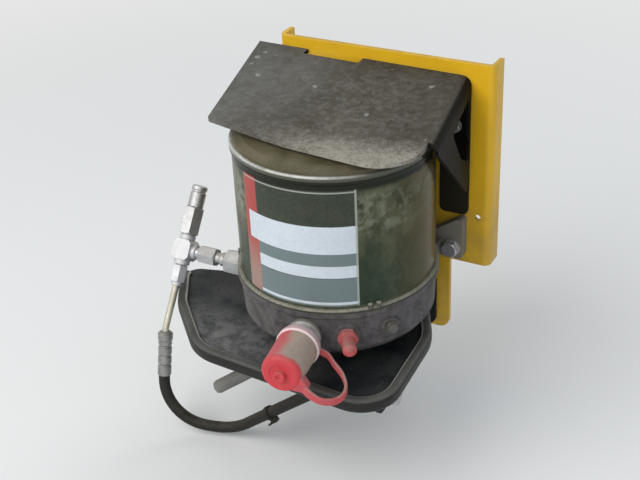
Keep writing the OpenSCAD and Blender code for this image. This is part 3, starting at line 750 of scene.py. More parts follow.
# %% Group: patches
patches = Group("patches", {"Scale": 40.0, "Amount": 0.5, "Softness": 0.2, "Seed": 0.0, "Rough": 0.6},
                {"Mask": "Float"})
given = patches.given
cloud = patches.put("ShaderNodeTexNoise", {"Vector": patches.position(), "W": given["Seed"],
                                           "Scale": given["Scale"], "Detail": 5.0,
                                           "Roughness": given["Rough"]}, noise_dimensions="4D")
limit = patches.minus(0.8, patches.times(given["Amount"], 0.6))
low = patches.minus(limit, given["Softness"])
high = patches.plus(limit, given["Softness"])
patches.give(Mask=patches.between(cloud.outputs[0], low, high))

# %% [markdown]
# Specks are small round spots, one in some of the cells of a Voronoi texture. They stand for chips
# in paint, splashes and grit. A fine noise shakes the place, so that no spot is a perfect circle.

# %% Group: specks
specks = Group("specks", {"Scale": 400.0, "Size": 0.3, "Share": 0.3}, {"Mask": "Float"})
given = specks.given
at = specks.position()
wobble = specks.put("ShaderNodeTexNoise", {"Vector": at, "Scale": specks.times(given["Scale"], 5.0)})
shaken = specks.put("ShaderNodeMix", {0: 0.006, 4: at, 5: wobble.outputs["Color"]}, data_type="VECTOR")
cells = specks.put("ShaderNodeTexVoronoi", {"Vector": shaken.outputs[1], "Scale": given["Scale"]})
chance = specks.put("ShaderNodeSeparateColor", {0: cells.outputs["Color"]})
chosen = specks.maths("LESS_THAN", chance.outputs[0], given["Share"])
reach = specks.times(given["Size"], specks.plus(0.4, chance.outputs[1]))
spot = specks.between(cells.outputs["Distance"], reach, specks.times(reach, 0.6))
specks.give(Mask=specks.times(chosen, spot))

# %% [markdown]
# Dust lies on what faces up, thicker in some places than in others, and gathers in corners. The
# corners come from ambient occlusion, which measures how boxed in a point is.

# %% Group: settled dust
dust = Group("settled_dust", {"Amount": 0.5, "Scale": 60.0, "Corners": 0.5, "Seed": 0.0}, {"Mask": "Float"})
given = dust.given
lying = dust.between(dust.parts(dust.normal())[2], 0.1, 0.95)
drift = dust.mask(patches, scale=given["Scale"], amount=0.62, softness=0.16, seed=given["Seed"])
fine = dust.mask(patches, scale=dust.times(given["Scale"], 12.0), amount=0.62, softness=0.12)
boxed = dust.put("ShaderNodeAmbientOcclusion", {"Distance": 8 * MM}, samples=6).outputs["AO"]
corner = dust.times(dust.between(boxed, 0.75, 0.25), given["Corners"])
fallen = dust.times(lying, drift, dust.plus(0.45, fine))
dust.give(Mask=dust.plus(dust.times(fallen, given["Amount"]), corner, clamp=True))

# %% [markdown]
# Grain is the height that a Bump node turns into relief: a fine one for powder coat and castings, a
# coarser one for hammered or sprayed surfaces.

# %% Group: grain
grain = Group("grain", {"Scale": 1500.0, "Depth": 1.0, "Seed": 0.0}, {"Height": "Float"})
given = grain.given
bumps = grain.put("ShaderNodeTexNoise", {"Vector": grain.position(), "W": given["Seed"],
                                         "Scale": given["Scale"], "Detail": 3.0}, noise_dimensions="4D")
grain.give(Height=grain.times(bumps.outputs[0], given["Depth"]))

# %% [markdown]
# ## One material
# A surface is a material with one Principled shader. It remembers the colour that has been laid so
# far, so that each further mark, such as a film of dust, is one line: its tone and the masks that
# say where it lies and how thickly.

# %% Surface
SOFT = 0.25 * MM
DEGREE = math.pi / 180


class Surface(Nodes):
    """A material with one Principled shader, and the colour laid on it so far."""

    def __init__(self, name, sockets):
        self.material = bpy.data.materials.new(name)
        self.material.use_nodes = True
        super().__init__(name, self.material.node_tree)
        self.shader = self.tree.nodes["Principled BSDF"].inputs
        self.colour = None
        for title, value in sockets.items():
            self.shader[title].default_value = value

    def lay(self, tone, *masks):
        """Lays one more tone over the colour, as thickly as its masks say together."""
        self.colour = self.mixed(self.times(*masks), self.colour, tone)

    def along(self, value, low, high, *to):
        """A smooth share between two places, given in millimetres."""
        return self.between(value, low * MM, high * MM, *to)

    def turn(self, angle, low, high, *to):
        """A smooth share between two angles, given in degrees."""
        return self.between(angle, low * DEGREE, high * DEGREE, *to)

    def stripe(self, value, low, high):
        """1 between two places in millimetres, and 0 beyond them."""
        rise = self.between(value, low * MM - SOFT, low * MM + SOFT)
        return self.times(rise, self.between(value, high * MM + SOFT, high * MM - SOFT))

    def at_least(self, least, mask, more):
        """A share that is never less than least, and more where the mask is."""
        return self.plus(least, self.times(mask, more))

    def onto(self, *names):
        """Ends the colour, and gives the material to CAD solids or new pieces, by name."""
        if self.colour:
            self.link(self.colour, self.shader["Base Color"])
        for name in names:
            data = bpy.data.objects[name].data
            data.materials.clear()
            data.materials.append(self.material)
        print(self.name, "with", len(self.tree.nodes), "nodes on", *names)


print("surfaces hold a colour that is laid in steps")

# %% [markdown]
# ## Weathered surfaces
# Paint, powder coat, castings, zinc and plastic all age in the same steps, with other numbers: a
# base with a second tone in patches, coarse ones with fine ones inside, then dust that lies on what
# faces up, grit all over, and bright wear on the edges. One function lays these steps, and each
# material gives it its own colours and amounts. Dusty surfaces shine less, so their specular level
# is low.

# %% Weathered material
def weathered(name, base, second, dusty, worn=None, tone_scale=35.0, tone_amount=0.5, dust_amount=0.5,
              dust_scale=45.0, corners=0.4, grit=0.2, wear=0.5, rough=0.5, rough_dust=0.85, metal=0.0,
              shine=0.3, grain_scale=1500.0, relief=0.03, edge_radius=0.4, seed=0.0, coat=0.0):
    """A surface of two tones with dust, grit and worn edges. Relief and radius are millimetres."""
    made = Surface(name, {"Coat Weight": coat, "Coat Roughness": 0.15, "Specular IOR Level": shine})
    edge = made.use(soft_edge, radius=edge_radius * MM)
    coarse = made.mask(patches, scale=tone_scale, amount=tone_amount, softness=0.2, seed=seed)
    fine = made.mask(patches, scale=tone_scale * 8, amount=tone_amount, softness=0.3, seed=seed + 1)
    tone = made.plus(made.times(coarse, 0.6), made.times(fine, 0.4))
    laid = made.mask(dust, amount=dust_amount, scale=dust_scale, corners=corners, seed=seed + 3)
    grains = made.mask(patches, scale=700.0, amount=0.34, softness=0.07, seed=seed + 5)
    dusted = made.plus(laid, made.times(grains, grit), clamp=True)
    made.colour = made.mixed(tone, base, second)
    made.lay(dusty, dusted)
    if worn:
        rubbed = made.mask(patches, scale=180.0, amount=0.55, softness=0.12, seed=seed + 7)
        made.lay(worn, edge["Edge"], rubbed, wear)
    gloss = made.at_least(rough, tone, 0.1)
    gloss = made.put("ShaderNodeMix", {0: dusted, 2: gloss, 3: rough_dust}).outputs[0]
    made.link(gloss, made.shader["Roughness"])
    if metal:
        made.link(made.times(made.minus(1.0, dusted), metal), made.shader["Metallic"])
    height = made.use(grain, scale=grain_scale, depth=1.0, seed=seed)["Height"]
    bump = made.put("ShaderNodeBump", {"Strength": 1.0, "Distance": relief * MM, "Height": height,
                                       "Normal": edge["Normal"]})
    made.link(bump.outputs[0], made.shader["Normal"])
    return made


print("weathered() lays two tones, dust, grit and worn edges")

# %% [markdown]
# ## Yellow paint
# The carrier has the machine's own yellow. Dust has turned it brown low down, round the pump, and
# the folded edges show worn, paler paint.

# %% Yellow paint
yellow = weathered("yellow_paint", (224, 178, 24), (212, 164, 22), (150, 124, 60), worn=(236, 214, 130),
                   tone_scale=22.0, dust_amount=0.4, corners=0.5, grit=0.12, wear=0.4, rough=0.34,
                   relief=0.05, grain_scale=500.0, edge_radius=0.8, shine=0.4)
height = yellow.parts(yellow.position())[2]
splashed = yellow.mask(patches, scale=60.0, amount=0.7, softness=0.3, seed=1.0)
yellow.lay((158, 132, 60), yellow.along(height, 60, -10), splashed, 0.6)
yellow.onto("carrier", "bush_welds")

# %% [markdown]
# ## Powder-coated sheet
# The hood and the shelf are black powder coat. What faces up has gone grey with dust, and on the
# hood what stands upright or faces down is painted nearly black as shade. The hood's top comes first:
# a pale film towards the left, mottles all over, large darker fields where hands and rain have
# cleaned it, and painted shade towards the right.

# %% Hood: its dusty top
hood_coat = weathered("hood_coat", (50, 46, 37), (78, 73, 63), (110, 107, 98), worn=(140, 136, 126),
                      tone_scale=24.0, tone_amount=0.5, dust_amount=0.25, dust_scale=55.0, corners=0.0,
                      grit=0.3, wear=0.35, rough=0.55, relief=0.1, grain_scale=900.0, edge_radius=0.5,
                      seed=2.0, shine=0.08)
x, y, z = hood_coat.parts(hood_coat.position())
pale_left = hood_coat.mask(patches, scale=90.0, amount=0.55, softness=0.3, seed=12.0)
hood_coat.lay((108, 109, 107), hood_coat.along(x, 10, -95), hood_coat.at_least(0.2, pale_left, 0.7))
mottles = hood_coat.mask(patches, scale=170.0, amount=0.45, softness=0.1, seed=10.0, rough=0.7)
hood_coat.lay((118, 116, 110), mottles, 0.5)
darker = hood_coat.mask(patches, scale=14.0, amount=0.5, softness=0.2, seed=11.0)
hood_coat.lay((52, 45, 33), darker, 0.4)
# Painted shade: the top is darker towards the right, away from the light.
hood_shade_right = hood_coat.along(x, 30, 80)
hood_coat.lay((48, 44, 36), hood_shade_right, 0.35)
print("the hood's top has", len(hood_coat.tree.nodes), "nodes so far")

# %% [markdown]
# Splashes have dried into a pale speckled band along the hood's front edge, so that band is painted
# by its distance from the edge, thicker to the right. The edge is bowed, and a square of X follows
# its bow. The back of the sheet, under the frame, is painted darker as shade, and a few chips are
# scattered.

# %% Hood: its speckled band
HOOD_BOW = 1.5
hood_low, hood_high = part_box("hood")
bow = hood_coat.times(x, x, HOOD_BOW)
from_edge = hood_coat.minus(hood_coat.minus(y, hood_low.y), bow)
to_right = hood_coat.along(x, -70, 45, 0.35, 1.0)
band = hood_coat.times(hood_coat.along(from_edge, 56, 2), to_right)
amount = hood_coat.at_least(0.12, band, 0.5)
coarse = hood_coat.mask(patches, scale=150.0, amount=amount, softness=0.2, seed=13.0, rough=0.8)
fine = hood_coat.mask(patches, scale=620.0, amount=amount, softness=0.16, seed=14.0)
spots = hood_coat.plus(hood_coat.times(coarse, 0.55), hood_coat.times(fine, 0.45), clamp=True)
hood_coat.lay((164, 160, 147), spots, hood_coat.at_least(0.3, band, 0.55))
# Painted shade: the back of the sheet, under the frame, is darker.
hood_back_shade = hood_coat.along(y, -75, -20)
hood_coat.lay((56, 54, 49), hood_back_shade, 0.3)
chips = hood_coat.mask(specks, scale=70.0, size=0.17, share=0.24)
hood_coat.lay((150, 149, 143), chips, 0.7)
print("the band starts at y", round(hood_low.y, 4))

# %% [markdown]
# The upright side is painted over all this, wherever the sheet no longer faces up, and so is what
# faces down. Its near-black is painted shade, with dull scuffs, and splashed brown towards its lowest
# tip. How low a point lies is measured from the falling top, so the border runs level with the bend.

# %% Hood: its upright side, in painted shade
HOOD_FALL = math.radians(4)
fall = hood_coat.times(hood_coat.minus(y, hood_high.y), math.tan(HOOD_FALL))
below_top = hood_coat.minus(hood_coat.plus(hood_high.z, fall), z)
past_corner = hood_coat.most(hood_coat.along(from_edge, 26, 34), hood_coat.along(below_top, 6, 9))
upward = hood_coat.parts(hood_coat.normal())[2]
# Painted shade: upright and downward faces of the hood are painted nearly black.
shaded_side_mask = hood_coat.times(hood_coat.between(upward, 0.985, 0.8), past_corner)
shaded_side_mask = hood_coat.most(shaded_side_mask, hood_coat.between(upward, -0.1, -0.5))
scuffs = hood_coat.mask(patches, scale=110.0, amount=0.45, softness=0.25, seed=15.0)
shaded_side = hood_coat.mixed(scuffs, (6, 6, 5), (19, 18, 16))
low_side = hood_coat.times(hood_coat.along(below_top, 55, 95), 0.8)
shaded_side = hood_coat.mixed(low_side, shaded_side, (44, 40, 29))
hood_coat.lay(shaded_side, shaded_side_mask)
hood_coat.onto("hood")

# %% [markdown]
# The shelf lies under the tank, so little falls on it. Dust has drifted onto its front left corner,
# which sticks out furthest, and the strip under the filler is painted darker as shade.

# %% Shelf
shelf_coat = weathered("shelf_coat", (17, 20, 25), (36, 39, 43), (92, 92, 90), worn=(120, 118, 112),
                       tone_scale=24.0, dust_amount=0.35, dust_scale=40.0, corners=0.25, grit=0.2,
                       wear=0.4, rough=0.45, relief=0.06, grain_scale=900.0, edge_radius=0.6, seed=5.0,
                       shine=0.1)
x, y = shelf_coat.parts(shelf_coat.position())[:2]
to_left = shelf_coat.along(x, 10, -70)
to_front = shelf_coat.between(y, AXIS_Y - 15 * MM, AXIS_Y - 75 * MM)
swept = shelf_coat.mask(patches, scale=70.0, amount=0.5, softness=0.1, seed=16.0, rough=0.75)
shelf_coat.lay((114, 115, 112), to_left, to_front, shelf_coat.at_least(0.2, swept, 0.8))
# Painted shade: darker towards the right, under the filler and the tank.
shade_under_filler = shelf_coat.along(x, 0, 40)
shelf_coat.lay((12, 16, 17), shade_under_filler, 0.5)
shelf_coat.onto("shelf")

# %% [markdown]
# The motor cover hangs below the shelf and is seen only from the side and the back. It is a drawn
# cup in smooth black paint, so its grain is the finest.

# %% Motor cover
cover_coat = weathered("cover_coat", (30, 30, 32), (42, 41, 40), (84, 78, 68), tone_scale=30.0,
                       dust_amount=0.5, corners=0.5, rough=0.35, relief=0.02, seed=8.0, edge_radius=0.8)
cover_coat.onto("motor_cover")

# %% [markdown]
# ## Cast housing
# The pump housing is a dark casting with a dull skin. Dust has caked on its left side, rain has
# drawn streaks down it, and oil has left it darker in blotches. Its ears, close to the carrier, are
# painted pale grey all over, as dust and as painted light that lifts them out of the shade under the
# tank and hood. The streaks are noise that a Mapping node has stretched upright.

# %% Housing
cast_skin = weathered("cast_skin", (80, 76, 79), (54, 53, 50), (116, 111, 98), worn=(136, 134, 126),
                      tone_scale=30.0, dust_amount=0.5, dust_scale=40.0, corners=0.35, grit=0.3,
                      wear=0.4, rough=0.5, relief=0.12, grain_scale=700.0, edge_radius=0.7, seed=11.0,
                      shine=0.15)
x, y = cast_skin.parts(cast_skin.position())[:2]
to_left = cast_skin.along(cast_skin.minus(x, cast_skin.times(y, 0.3)), 40, -30)
caked = cast_skin.mask(patches, scale=55.0, amount=0.62, softness=0.3, seed=17.0)
cast_skin.lay((122, 121, 113), to_left, cast_skin.at_least(0.35, caked, 0.6))
runs = cast_skin.put("ShaderNodeMapping", {"Vector": cast_skin.position(), "Scale": (1, 1, 0.25)})
streaks = cast_skin.put("ShaderNodeTexNoise", {"Vector": runs.outputs[0], "Scale": 95.0, "Detail": 4.0,
                                               "Roughness": 0.65})
cast_skin.lay((112, 109, 101), cast_skin.between(streaks.outputs[0], 0.5, 0.68), 0.35)
blotches = cast_skin.mask(patches, scale=90.0, amount=0.5, softness=0.15, seed=18.0, rough=0.7)
cast_skin.lay((112, 106, 110), blotches, 0.5)
oiled = cast_skin.mask(patches, scale=60.0, amount=0.42, softness=0.12, seed=19.0, rough=0.65)
cast_skin.lay((46, 48, 44), oiled, 0.5)
# Dust and painted light: the ears are lifted pale grey out of the shade under the tank and hood.
ears_dust_and_light = cast_skin.along(y, -44, -26)
cast_skin.lay((128, 124, 111), ears_dust_and_light, 0.85)
cast_skin.onto("pump_housing")

# %% [markdown]
# The ring at the foot of the tank is caked with pale dust along its top and its foot. Between them
# runs a darker line of painted shade on the ring's side, so it is painted by height.

# %% Reservoir ring
caked_ring = weathered("caked_ring", (96, 96, 88), (66, 66, 57), (152, 150, 135), tone_scale=70.0,
                       tone_amount=0.6, dust_amount=0.6, corners=0.2, grit=0.4, rough=0.6, relief=0.15,
                       grain_scale=500.0, edge_radius=0.7, seed=12.0)
height = caked_ring.parts(caked_ring.position())[2]
caked_foot = caked_ring.times(caked_ring.along(height, 0.7, 0.3), 0.6)
caked_top = caked_ring.along(height, 1.7, 2.4)
# Painted shade: the ring's side is darker between its pale top and its foot.
ring_shade_line = caked_ring.minus(1.0, caked_ring.most(caked_top, caked_foot))
caked_ring.lay((44, 43, 37), ring_shade_line, 0.75)
caked_ring.onto("reservoir_ring")

# %% [markdown]
# ## Zinc
# Bolts, nuts and fittings are zinc plated. Fresh zinc is bright and a little blue, and it dulls in
# patches. The forged tee and its nut are the brightest, the bent line under them has a creamy
# chromate tint, the crimped sleeve and the filler's neck are duller, and the blanking screw and the
# motor cover's screws have gone as dull as what they sit in.

# %% Zinc
zinc = weathered("zinc", (196, 198, 202), (164, 164, 162), (138, 130, 114), tone_scale=120.0,
                 dust_amount=0.3, dust_scale=120.0, corners=0.4, grit=0.15, rough=0.34, rough_dust=0.8,
                 metal=0.85, relief=0.015, grain_scale=1800.0, edge_radius=0.35, seed=14.0, shine=0.5)
zinc.onto("shelf_bolts", "pump_bolts", "pump_element", "union_nut", "relief_valve", "end_sleeve",
          "line_union")
forged = weathered("zinc_forged", (210, 211, 214), (188, 189, 192), (158, 150, 132), tone_scale=90.0,
                   dust_amount=0.2, dust_scale=120.0, corners=0.3, grit=0.1, rough=0.45, rough_dust=0.8,
                   metal=0.5, relief=0.06, grain_scale=900.0, edge_radius=0.6, seed=17.0, shine=0.5)
forged.onto("tee", "outlet_nut")
chromate = weathered("zinc_chromate", (200, 197, 184), (174, 168, 148), (136, 128, 110), tone_scale=120.0,
                     dust_amount=0.3, dust_scale=120.0, corners=0.2, grit=0.15, rough=0.36, metal=0.6,
                     relief=0.015, grain_scale=1800.0, seed=18.0, shine=0.5)
chromate.onto("outlet_pipe")
dulled = weathered("zinc_dull", (158, 159, 158), (126, 126, 122), (120, 114, 102), tone_scale=120.0,
                   dust_amount=0.4, dust_scale=120.0, corners=0.5, grit=0.2, rough=0.38, rough_dust=0.8,
                   metal=0.75, relief=0.03, grain_scale=900.0, edge_radius=0.35, seed=19.0)
dulled.onto("hose_sleeve", "filler_neck", "hood_bolts")
dusty_zinc = weathered("zinc_dusty", (104, 104, 102), (84, 83, 80), (112, 104, 88), tone_scale=120.0,
                       dust_amount=0.6, dust_scale=120.0, corners=0.4, grit=0.3, rough=0.45,
                       rough_dust=0.85, metal=0.5, relief=0.03, grain_scale=900.0, edge_radius=0.35,
                       seed=20.0)
dusty_zinc.onto("blanking_screw", "cover_screws")

# %% [markdown]
# ## Red plastic
# The cap, its strap and the plug are soft red plastic that has faded and taken up dust. Light goes a
# little way into the strap, which the subsurface weight stands for. The plug sits in a dirty corner
# and is browner, and the eye behind the cap is the palest.

# %% Red plastic
PINK = (222, 136, 138)
soft_red = weathered("red_plastic", (190, 56, 64), (170, 84, 88), (150, 122, 114), worn=PINK,
                     tone_scale=90.0, dust_amount=0.75, dust_scale=70.0, corners=0.3, grit=0.3, wear=0.6,
                     rough=0.42, relief=0.03, grain_scale=900.0, edge_radius=0.5, seed=21.0)
soft_red.shader["Subsurface Weight"].default_value = 0.05
soft_red.onto("cap_strap", "strap", "cap_tab")
plug_red = weathered("plug_plastic", (186, 66, 70), (160, 84, 84), (140, 114, 104), worn=PINK,
                     tone_scale=140.0, dust_amount=0.6, dust_scale=90.0, corners=0.8, grit=0.3, wear=0.5,
                     rough=0.5, relief=0.04, grain_scale=900.0, edge_radius=0.5, seed=22.0)
plug_red.onto("port_plug")
faded_eye = weathered("faded_eye", (194, 172, 174), (172, 156, 156), (158, 152, 149),
                      worn=(236, 222, 222), tone_scale=120.0, dust_amount=0.5, dust_scale=90.0,
                      corners=0.3, grit=0.25, wear=0.8, rough=0.5, relief=0.04, grain_scale=900.0,
                      edge_radius=0.6, seed=24.0)
faded_eye.onto("strap_eye")

# %% [markdown]
# The cap's right side is grey-brown with dust held by grease, its barrel is paler pink, partly faded
# and partly a painted highlight, and its end, which is touched, is still red. A Mapping node turns the
# coordinates to the filler's own axis, and then the cap is painted by how far a point lies along that
# axis and to its right. A painted highlight runs round the collar's rim.

# %% Cap
cap_red = weathered("cap_plastic", (200, 48, 56), (180, 66, 72), (140, 112, 102), worn=PINK,
                    tone_scale=90.0, dust_amount=0.2, dust_scale=70.0, corners=0.1, grit=0.12, wear=0.6,
                    rough=0.42, relief=0.03, grain_scale=900.0, edge_radius=0.6, seed=21.0)
centred = cap_red.put("ShaderNodeMapping", {"Vector": cap_red.position(),
                                            "Location": (-AXIS_X, -AXIS_Y, -PORT_Z * MM)})
facing_out = cap_red.put("ShaderNodeMapping", {"Vector": centred.outputs[0],
                                               "Rotation": (0, 0, -FILLER_ANGLE)})
beside, inward, above = cap_red.parts(facing_out.outputs[0])
ragged = cap_red.mask(patches, scale=160.0, amount=0.5, softness=0.3, seed=26.0)
shake = cap_red.times(cap_red.minus(ragged, 0.5), 5 * MM)
rightward = cap_red.plus(cap_red.times(beside, 0.94), cap_red.times(above, 0.34))
shaken_in = cap_red.plus(inward, cap_red.times(shake, 0.6))
barrel = cap_red.along(shaken_in, -(CAP_TO - 2), -(CAP_TO - 6))
# Partly faded plastic, partly a painted highlight: the barrel is laid paler pink.
cap_red.lay((184, 98, 100), barrel, 0.6)
held = cap_red.along(cap_red.plus(rightward, shake), -1, 9)
dirt = cap_red.mixed(ragged, (172, 158, 146), (150, 144, 128))
cap_red.lay(dirt, held, barrel, 0.92)
collar = cap_red.along(inward, -(CAP_FROM + 6), -(CAP_FROM + 4))
cap_red.lay((196, 166, 168), collar, 0.8)
# Painted highlight: a near-white line round the collar's rim.
collar_rim_highlight = cap_red.stripe(inward, -(CAP_FROM + 5.2), -(CAP_FROM + 3.4))
cap_red.lay((236, 218, 218), collar_rim_highlight, 0.6)
cap_red.onto("filler_cap")

# %% [markdown]
# ## Clear tank, smeared inside
# The tank is clear plastic, but the follower has smeared grease up its wall, so hardly anything
# shows through. It is painted as what the eye sees: dark green where grease stands, and olive
# smears above it. The border between them climbs and falls with a noise that is stretched along the
# tank's round, because the follower drags the grease sideways.

# %% Tank: grease and smears
def round_tank(surface):
    """The angle round the tank in radians, and the height."""
    centred = surface.put("ShaderNodeMapping", {"Vector": surface.position(),
                                                "Location": (-AXIS_X, -AXIS_Y, 0)})
    x, y, z = surface.parts(centred.outputs[0])
    return surface.maths("ARCTAN2", x, surface.times(y, -1.0)), z


tank = Surface("smeared_tank", {"Roughness": 0.26, "Coat Roughness": 0.12, "Specular IOR Level": 0.13})
angle, height = round_tank(tank)
stretched = tank.put("ShaderNodeCombineXYZ", {0: tank.times(angle, 3.4), 1: tank.times(height, 26.0)})
smear = tank.put("ShaderNodeTexNoise", {"Vector": stretched.outputs[0], "Scale": 1.0, "Detail": 6.0,
                                        "Roughness": 0.6}).outputs[0]
wet = tank.along(tank.plus(height, tank.times(smear, 46 * MM)), 46, 92)
clouds = tank.mask(patches, scale=30.0, amount=0.5, softness=0.3, seed=4.0)
film = tank.mixed(tank.between(smear, 0.38, 0.62), (48, 53, 36), (85, 87, 64))
grease_tone = tank.mixed(clouds, (27, 42, 30), (56, 69, 54))
tank.colour = tank.mixed(wet, grease_tone, film)
small = tank.mask(patches, scale=150.0, amount=0.45, softness=0.25, seed=5.0)
tank.lay((93, 97, 80), small, 0.38)
print("the tank has", len(tank.tree.nodes), "nodes so far")

# %% [markdown]
# Over the smears lie pale wipe marks high up, a dark pool beside the label, and a brown-yellow
# painted reflection of the yellow frame where the wall turns away to either side, patchy in places.

# %% Tank: wipes, pool and painted reflection at the sides
high_up = tank.times(tank.along(height, 58, 74), tank.along(height, 108, 92))
wiped = tank.mask(patches, scale=135.0, amount=0.46, softness=0.1, seed=7.0)
tank.lay((124, 129, 112), wiped, high_up, 0.6)
beside_label = tank.times(tank.turn(angle, 62, 40), tank.along(height, 74, 40))
tank.lay((30, 46, 30), beside_label, tank.at_least(0.3, clouds, 0.6))
# Painted reflection: the yellow frame, brown-yellow where the wall turns away to either side.
yellow_reflection_sides = tank.most(tank.turn(angle, 52, 92), tank.turn(angle, -32, -62))
reflection_patches = tank.mask(patches, scale=26.0, amount=0.6, softness=0.3, seed=11.0)
tank.lay((78, 66, 25), yellow_reflection_sides, tank.at_least(0.5, reflection_patches, 0.42))
print("the tank has", len(tank.tree.nodes), "nodes so far")

# %% [markdown]
# The bead at the top has a clear coat, and a pale painted highlight lies along its crest. Under it
# runs a dark band of painted shade, for the unlit inside of the tank, and dirt has gathered in the
# corner at the wall's foot. One soft edge goes over the bead's narrow steps, which a moulded wall
# doesn't show as creases.

# %% Tank: bead and foot
# Painted shade: a dark band below the bead, for the unlit inside of the tank.
shade_under_bead = tank.along(height, 102, 106)
tank.lay((31, 34, 26), shade_under_bead)
on_bead = tank.along(height, 112.5, 114)
tank.lay((64, 65, 50), on_bead)
# Painted highlight: a near-white line along the bead's crest, broken in patches.
crest_highlight = tank.times(tank.along(height, 115.2, 116.6), tank.along(height, 120.0, 119.2))
highlight_patches = tank.mask(patches, scale=60.0, amount=0.75, softness=0.3, seed=9.0)
tank.lay((216, 219, 213), crest_highlight, tank.turn(angle, 50, 20, 0.2, 1.0), highlight_patches, 0.95)
foot_dirt = tank.mask(patches, scale=140.0, amount=0.6, softness=0.3, seed=8.0)
tank.lay((104, 102, 84), tank.along(height, 6, 2.5), foot_dirt)
film_dust = tank.mask(dust, amount=0.4, scale=60.0, corners=0.3)
tank.lay((104, 98, 78), film_dust)
tank.link(tank.at_least(0.04, on_bead, 0.87), tank.shader["Coat Weight"])
tank.link(tank.use(soft_edge, radius=1.3 * MM)["Normal"], tank.shader["Normal"])
tank.onto("reservoir")

# %% [markdown]
# The lid is the same plastic, browned by dust from above, with a thin clear coat. The grease can't
# be seen through the smears, but the next reader may open the tank, so it has its own wet, lumpy
# green.

# %% Lid and grease
lid_film = weathered("lid_plastic", (82, 76, 52), (64, 60, 42), (108, 101, 78), tone_scale=30.0,
                     dust_amount=0.35, corners=0.2, grit=0.2, rough=0.3, relief=0.02, seed=23.0, coat=0.1)
lid_film.onto("reservoir_lid")
wet_grease = weathered("grease", (40, 54, 40), (54, 66, 50), (60, 66, 52), tone_scale=40.0,
                       dust_amount=0.0, corners=0.0, grit=0.0, rough=0.2, relief=0.4, grain_scale=120.0,
                       seed=25.0)
wet_grease.onto("grease")

# %% [markdown]
# ## The label's fields
# The foil's colours lie in level bands round the tank, so they are picked by height and angle. A red
# strip stands at the left. Sun has faded it, most of all towards the bottom.

# %% Label: bands and strip
LEVELS = [(5.5, 7, "slate"), (7, 9.5, "white"), (9.5, 30.5, "slate"), (31, 41.5, "white"),
          (41.5, 52, "slate"), (52, 75.5, "white")]
TONES = {"white": (198, 206, 213), "slate": (102, 117, 119)}
foil_print = Surface("label_foil", {"Roughness": 0.4, "Coat Weight": 0.08, "Coat Roughness": 0.15,
                                    "Specular IOR Level": 0.25})
angle, height = round_tank(foil_print)
shade = foil_print.mask(patches, scale=22.0, amount=0.5, softness=0.25, seed=6.0)
foil_print.colour = foil_print.mixed(shade, (34, 41, 32), (44, 52, 40))
for low_mm, high_mm, tone in LEVELS:
    foil_print.lay(TONES[tone], foil_print.stripe(height, low_mm, high_mm))
red = foil_print.mixed(foil_print.along(height, 62, 16), (162, 58, 54), (150, 120, 110))
left_of = foil_print.turn(angle, -19.3, -19.7)
past_start = foil_print.turn(angle, -27.2, -26.6)
in_band = foil_print.times(foil_print.stripe(height, 52, 75.5), past_start)
foil_print.lay(red, left_of, foil_print.minus(1.0, in_band))
print("the label has", len(LEVELS), "bands and a strip")

# %% [markdown]
# A thin pale border closes the foil at its right and along its top. Dust has crept over its left and
# lower edges, where it starts to lift, and lies as a light film on the rest.

# %% Label: border and dust
at_right = foil_print.turn(angle, 38.2, 38.5)
at_top = foil_print.stripe(height, 103.2, 104.4)
foil_print.lay((160, 164, 156), foil_print.most(at_right, at_top), 0.8)
grime = foil_print.mask(patches, scale=70.0, amount=0.5, softness=0.25, seed=9.0)
fine = foil_print.mask(patches, scale=420.0, amount=0.45, softness=0.12, seed=10.0)
foil_print.lay((110, 108, 94), foil_print.plus(grime, fine), 0.09)
crept = foil_print.most(foil_print.turn(angle, -27.5, -30.5), foil_print.along(height, 9, 5))
foil_print.lay((112, 106, 88), crept, grime, 0.6)
foil_print.onto("label")

# %% [markdown]
# ## Rubber
# Hose and edge are black rubber, which goes grey with dust. The edge is paler along the top, where
# it is rubbed and dries out, with a painted highlight in it, and a bright painted highlight runs along
# the inner lip. The inner lip is where the surface looks up and back towards the pump's axis.

# %% Rubber
hose_rubber = weathered("hose_rubber", (24, 24, 21), (36, 35, 31), (74, 69, 58), tone_scale=80.0,
                        dust_amount=0.4, dust_scale=80.0, corners=0.2, grit=0.2, rough=0.55, relief=0.05,
                        grain_scale=1400.0, seed=27.0, shine=0.25)
hose_rubber.onto("hose", "hose_tie")
edge_rubber = weathered("edge_rubber", (15, 15, 14), (27, 26, 24), (72, 69, 61), tone_scale=60.0,
                        dust_amount=0.25, dust_scale=50.0, corners=0.2, grit=0.2, rough=0.4, relief=0.03,
                        grain_scale=1200.0, seed=29.0, shine=0.3)
upward = edge_rubber.parts(edge_rubber.normal())[2]
# Worn rubber and a painted highlight: the top of the edge is paler.
dried_and_sheen = edge_rubber.mask(patches, scale=45.0, amount=0.7, softness=0.3, seed=30.0)
edge_rubber.lay((98, 98, 94), edge_rubber.between(upward, 0.4, 0.85), dried_and_sheen, 0.6)
from_axis = edge_rubber.put("ShaderNodeMapping", {"Vector": edge_rubber.position(),
                                                  "Location": (-AXIS_X, -AXIS_Y, 0), "Scale": (1, 1, 0)})
outward = edge_rubber.put("ShaderNodeVectorMath", {0: from_axis.outputs[0]}, operation="NORMALIZE")
looks_out = edge_rubber.dot(outward.outputs[0], edge_rubber.normal())
# Painted highlight: a bright line along the inner lip.
lip_highlight = edge_rubber.times(edge_rubber.between(looks_out, -0.3, -0.5),
                              edge_rubber.between(upward, 0.3, 0.6))
edge_rubber.lay((176, 175, 165), lip_highlight, 0.95)
edge_rubber.onto("edge_trim")

# %% [markdown]
# ## Grey plastic
# The power inlet is a moulded gland and plug in plain grey plastic, dull with dust.

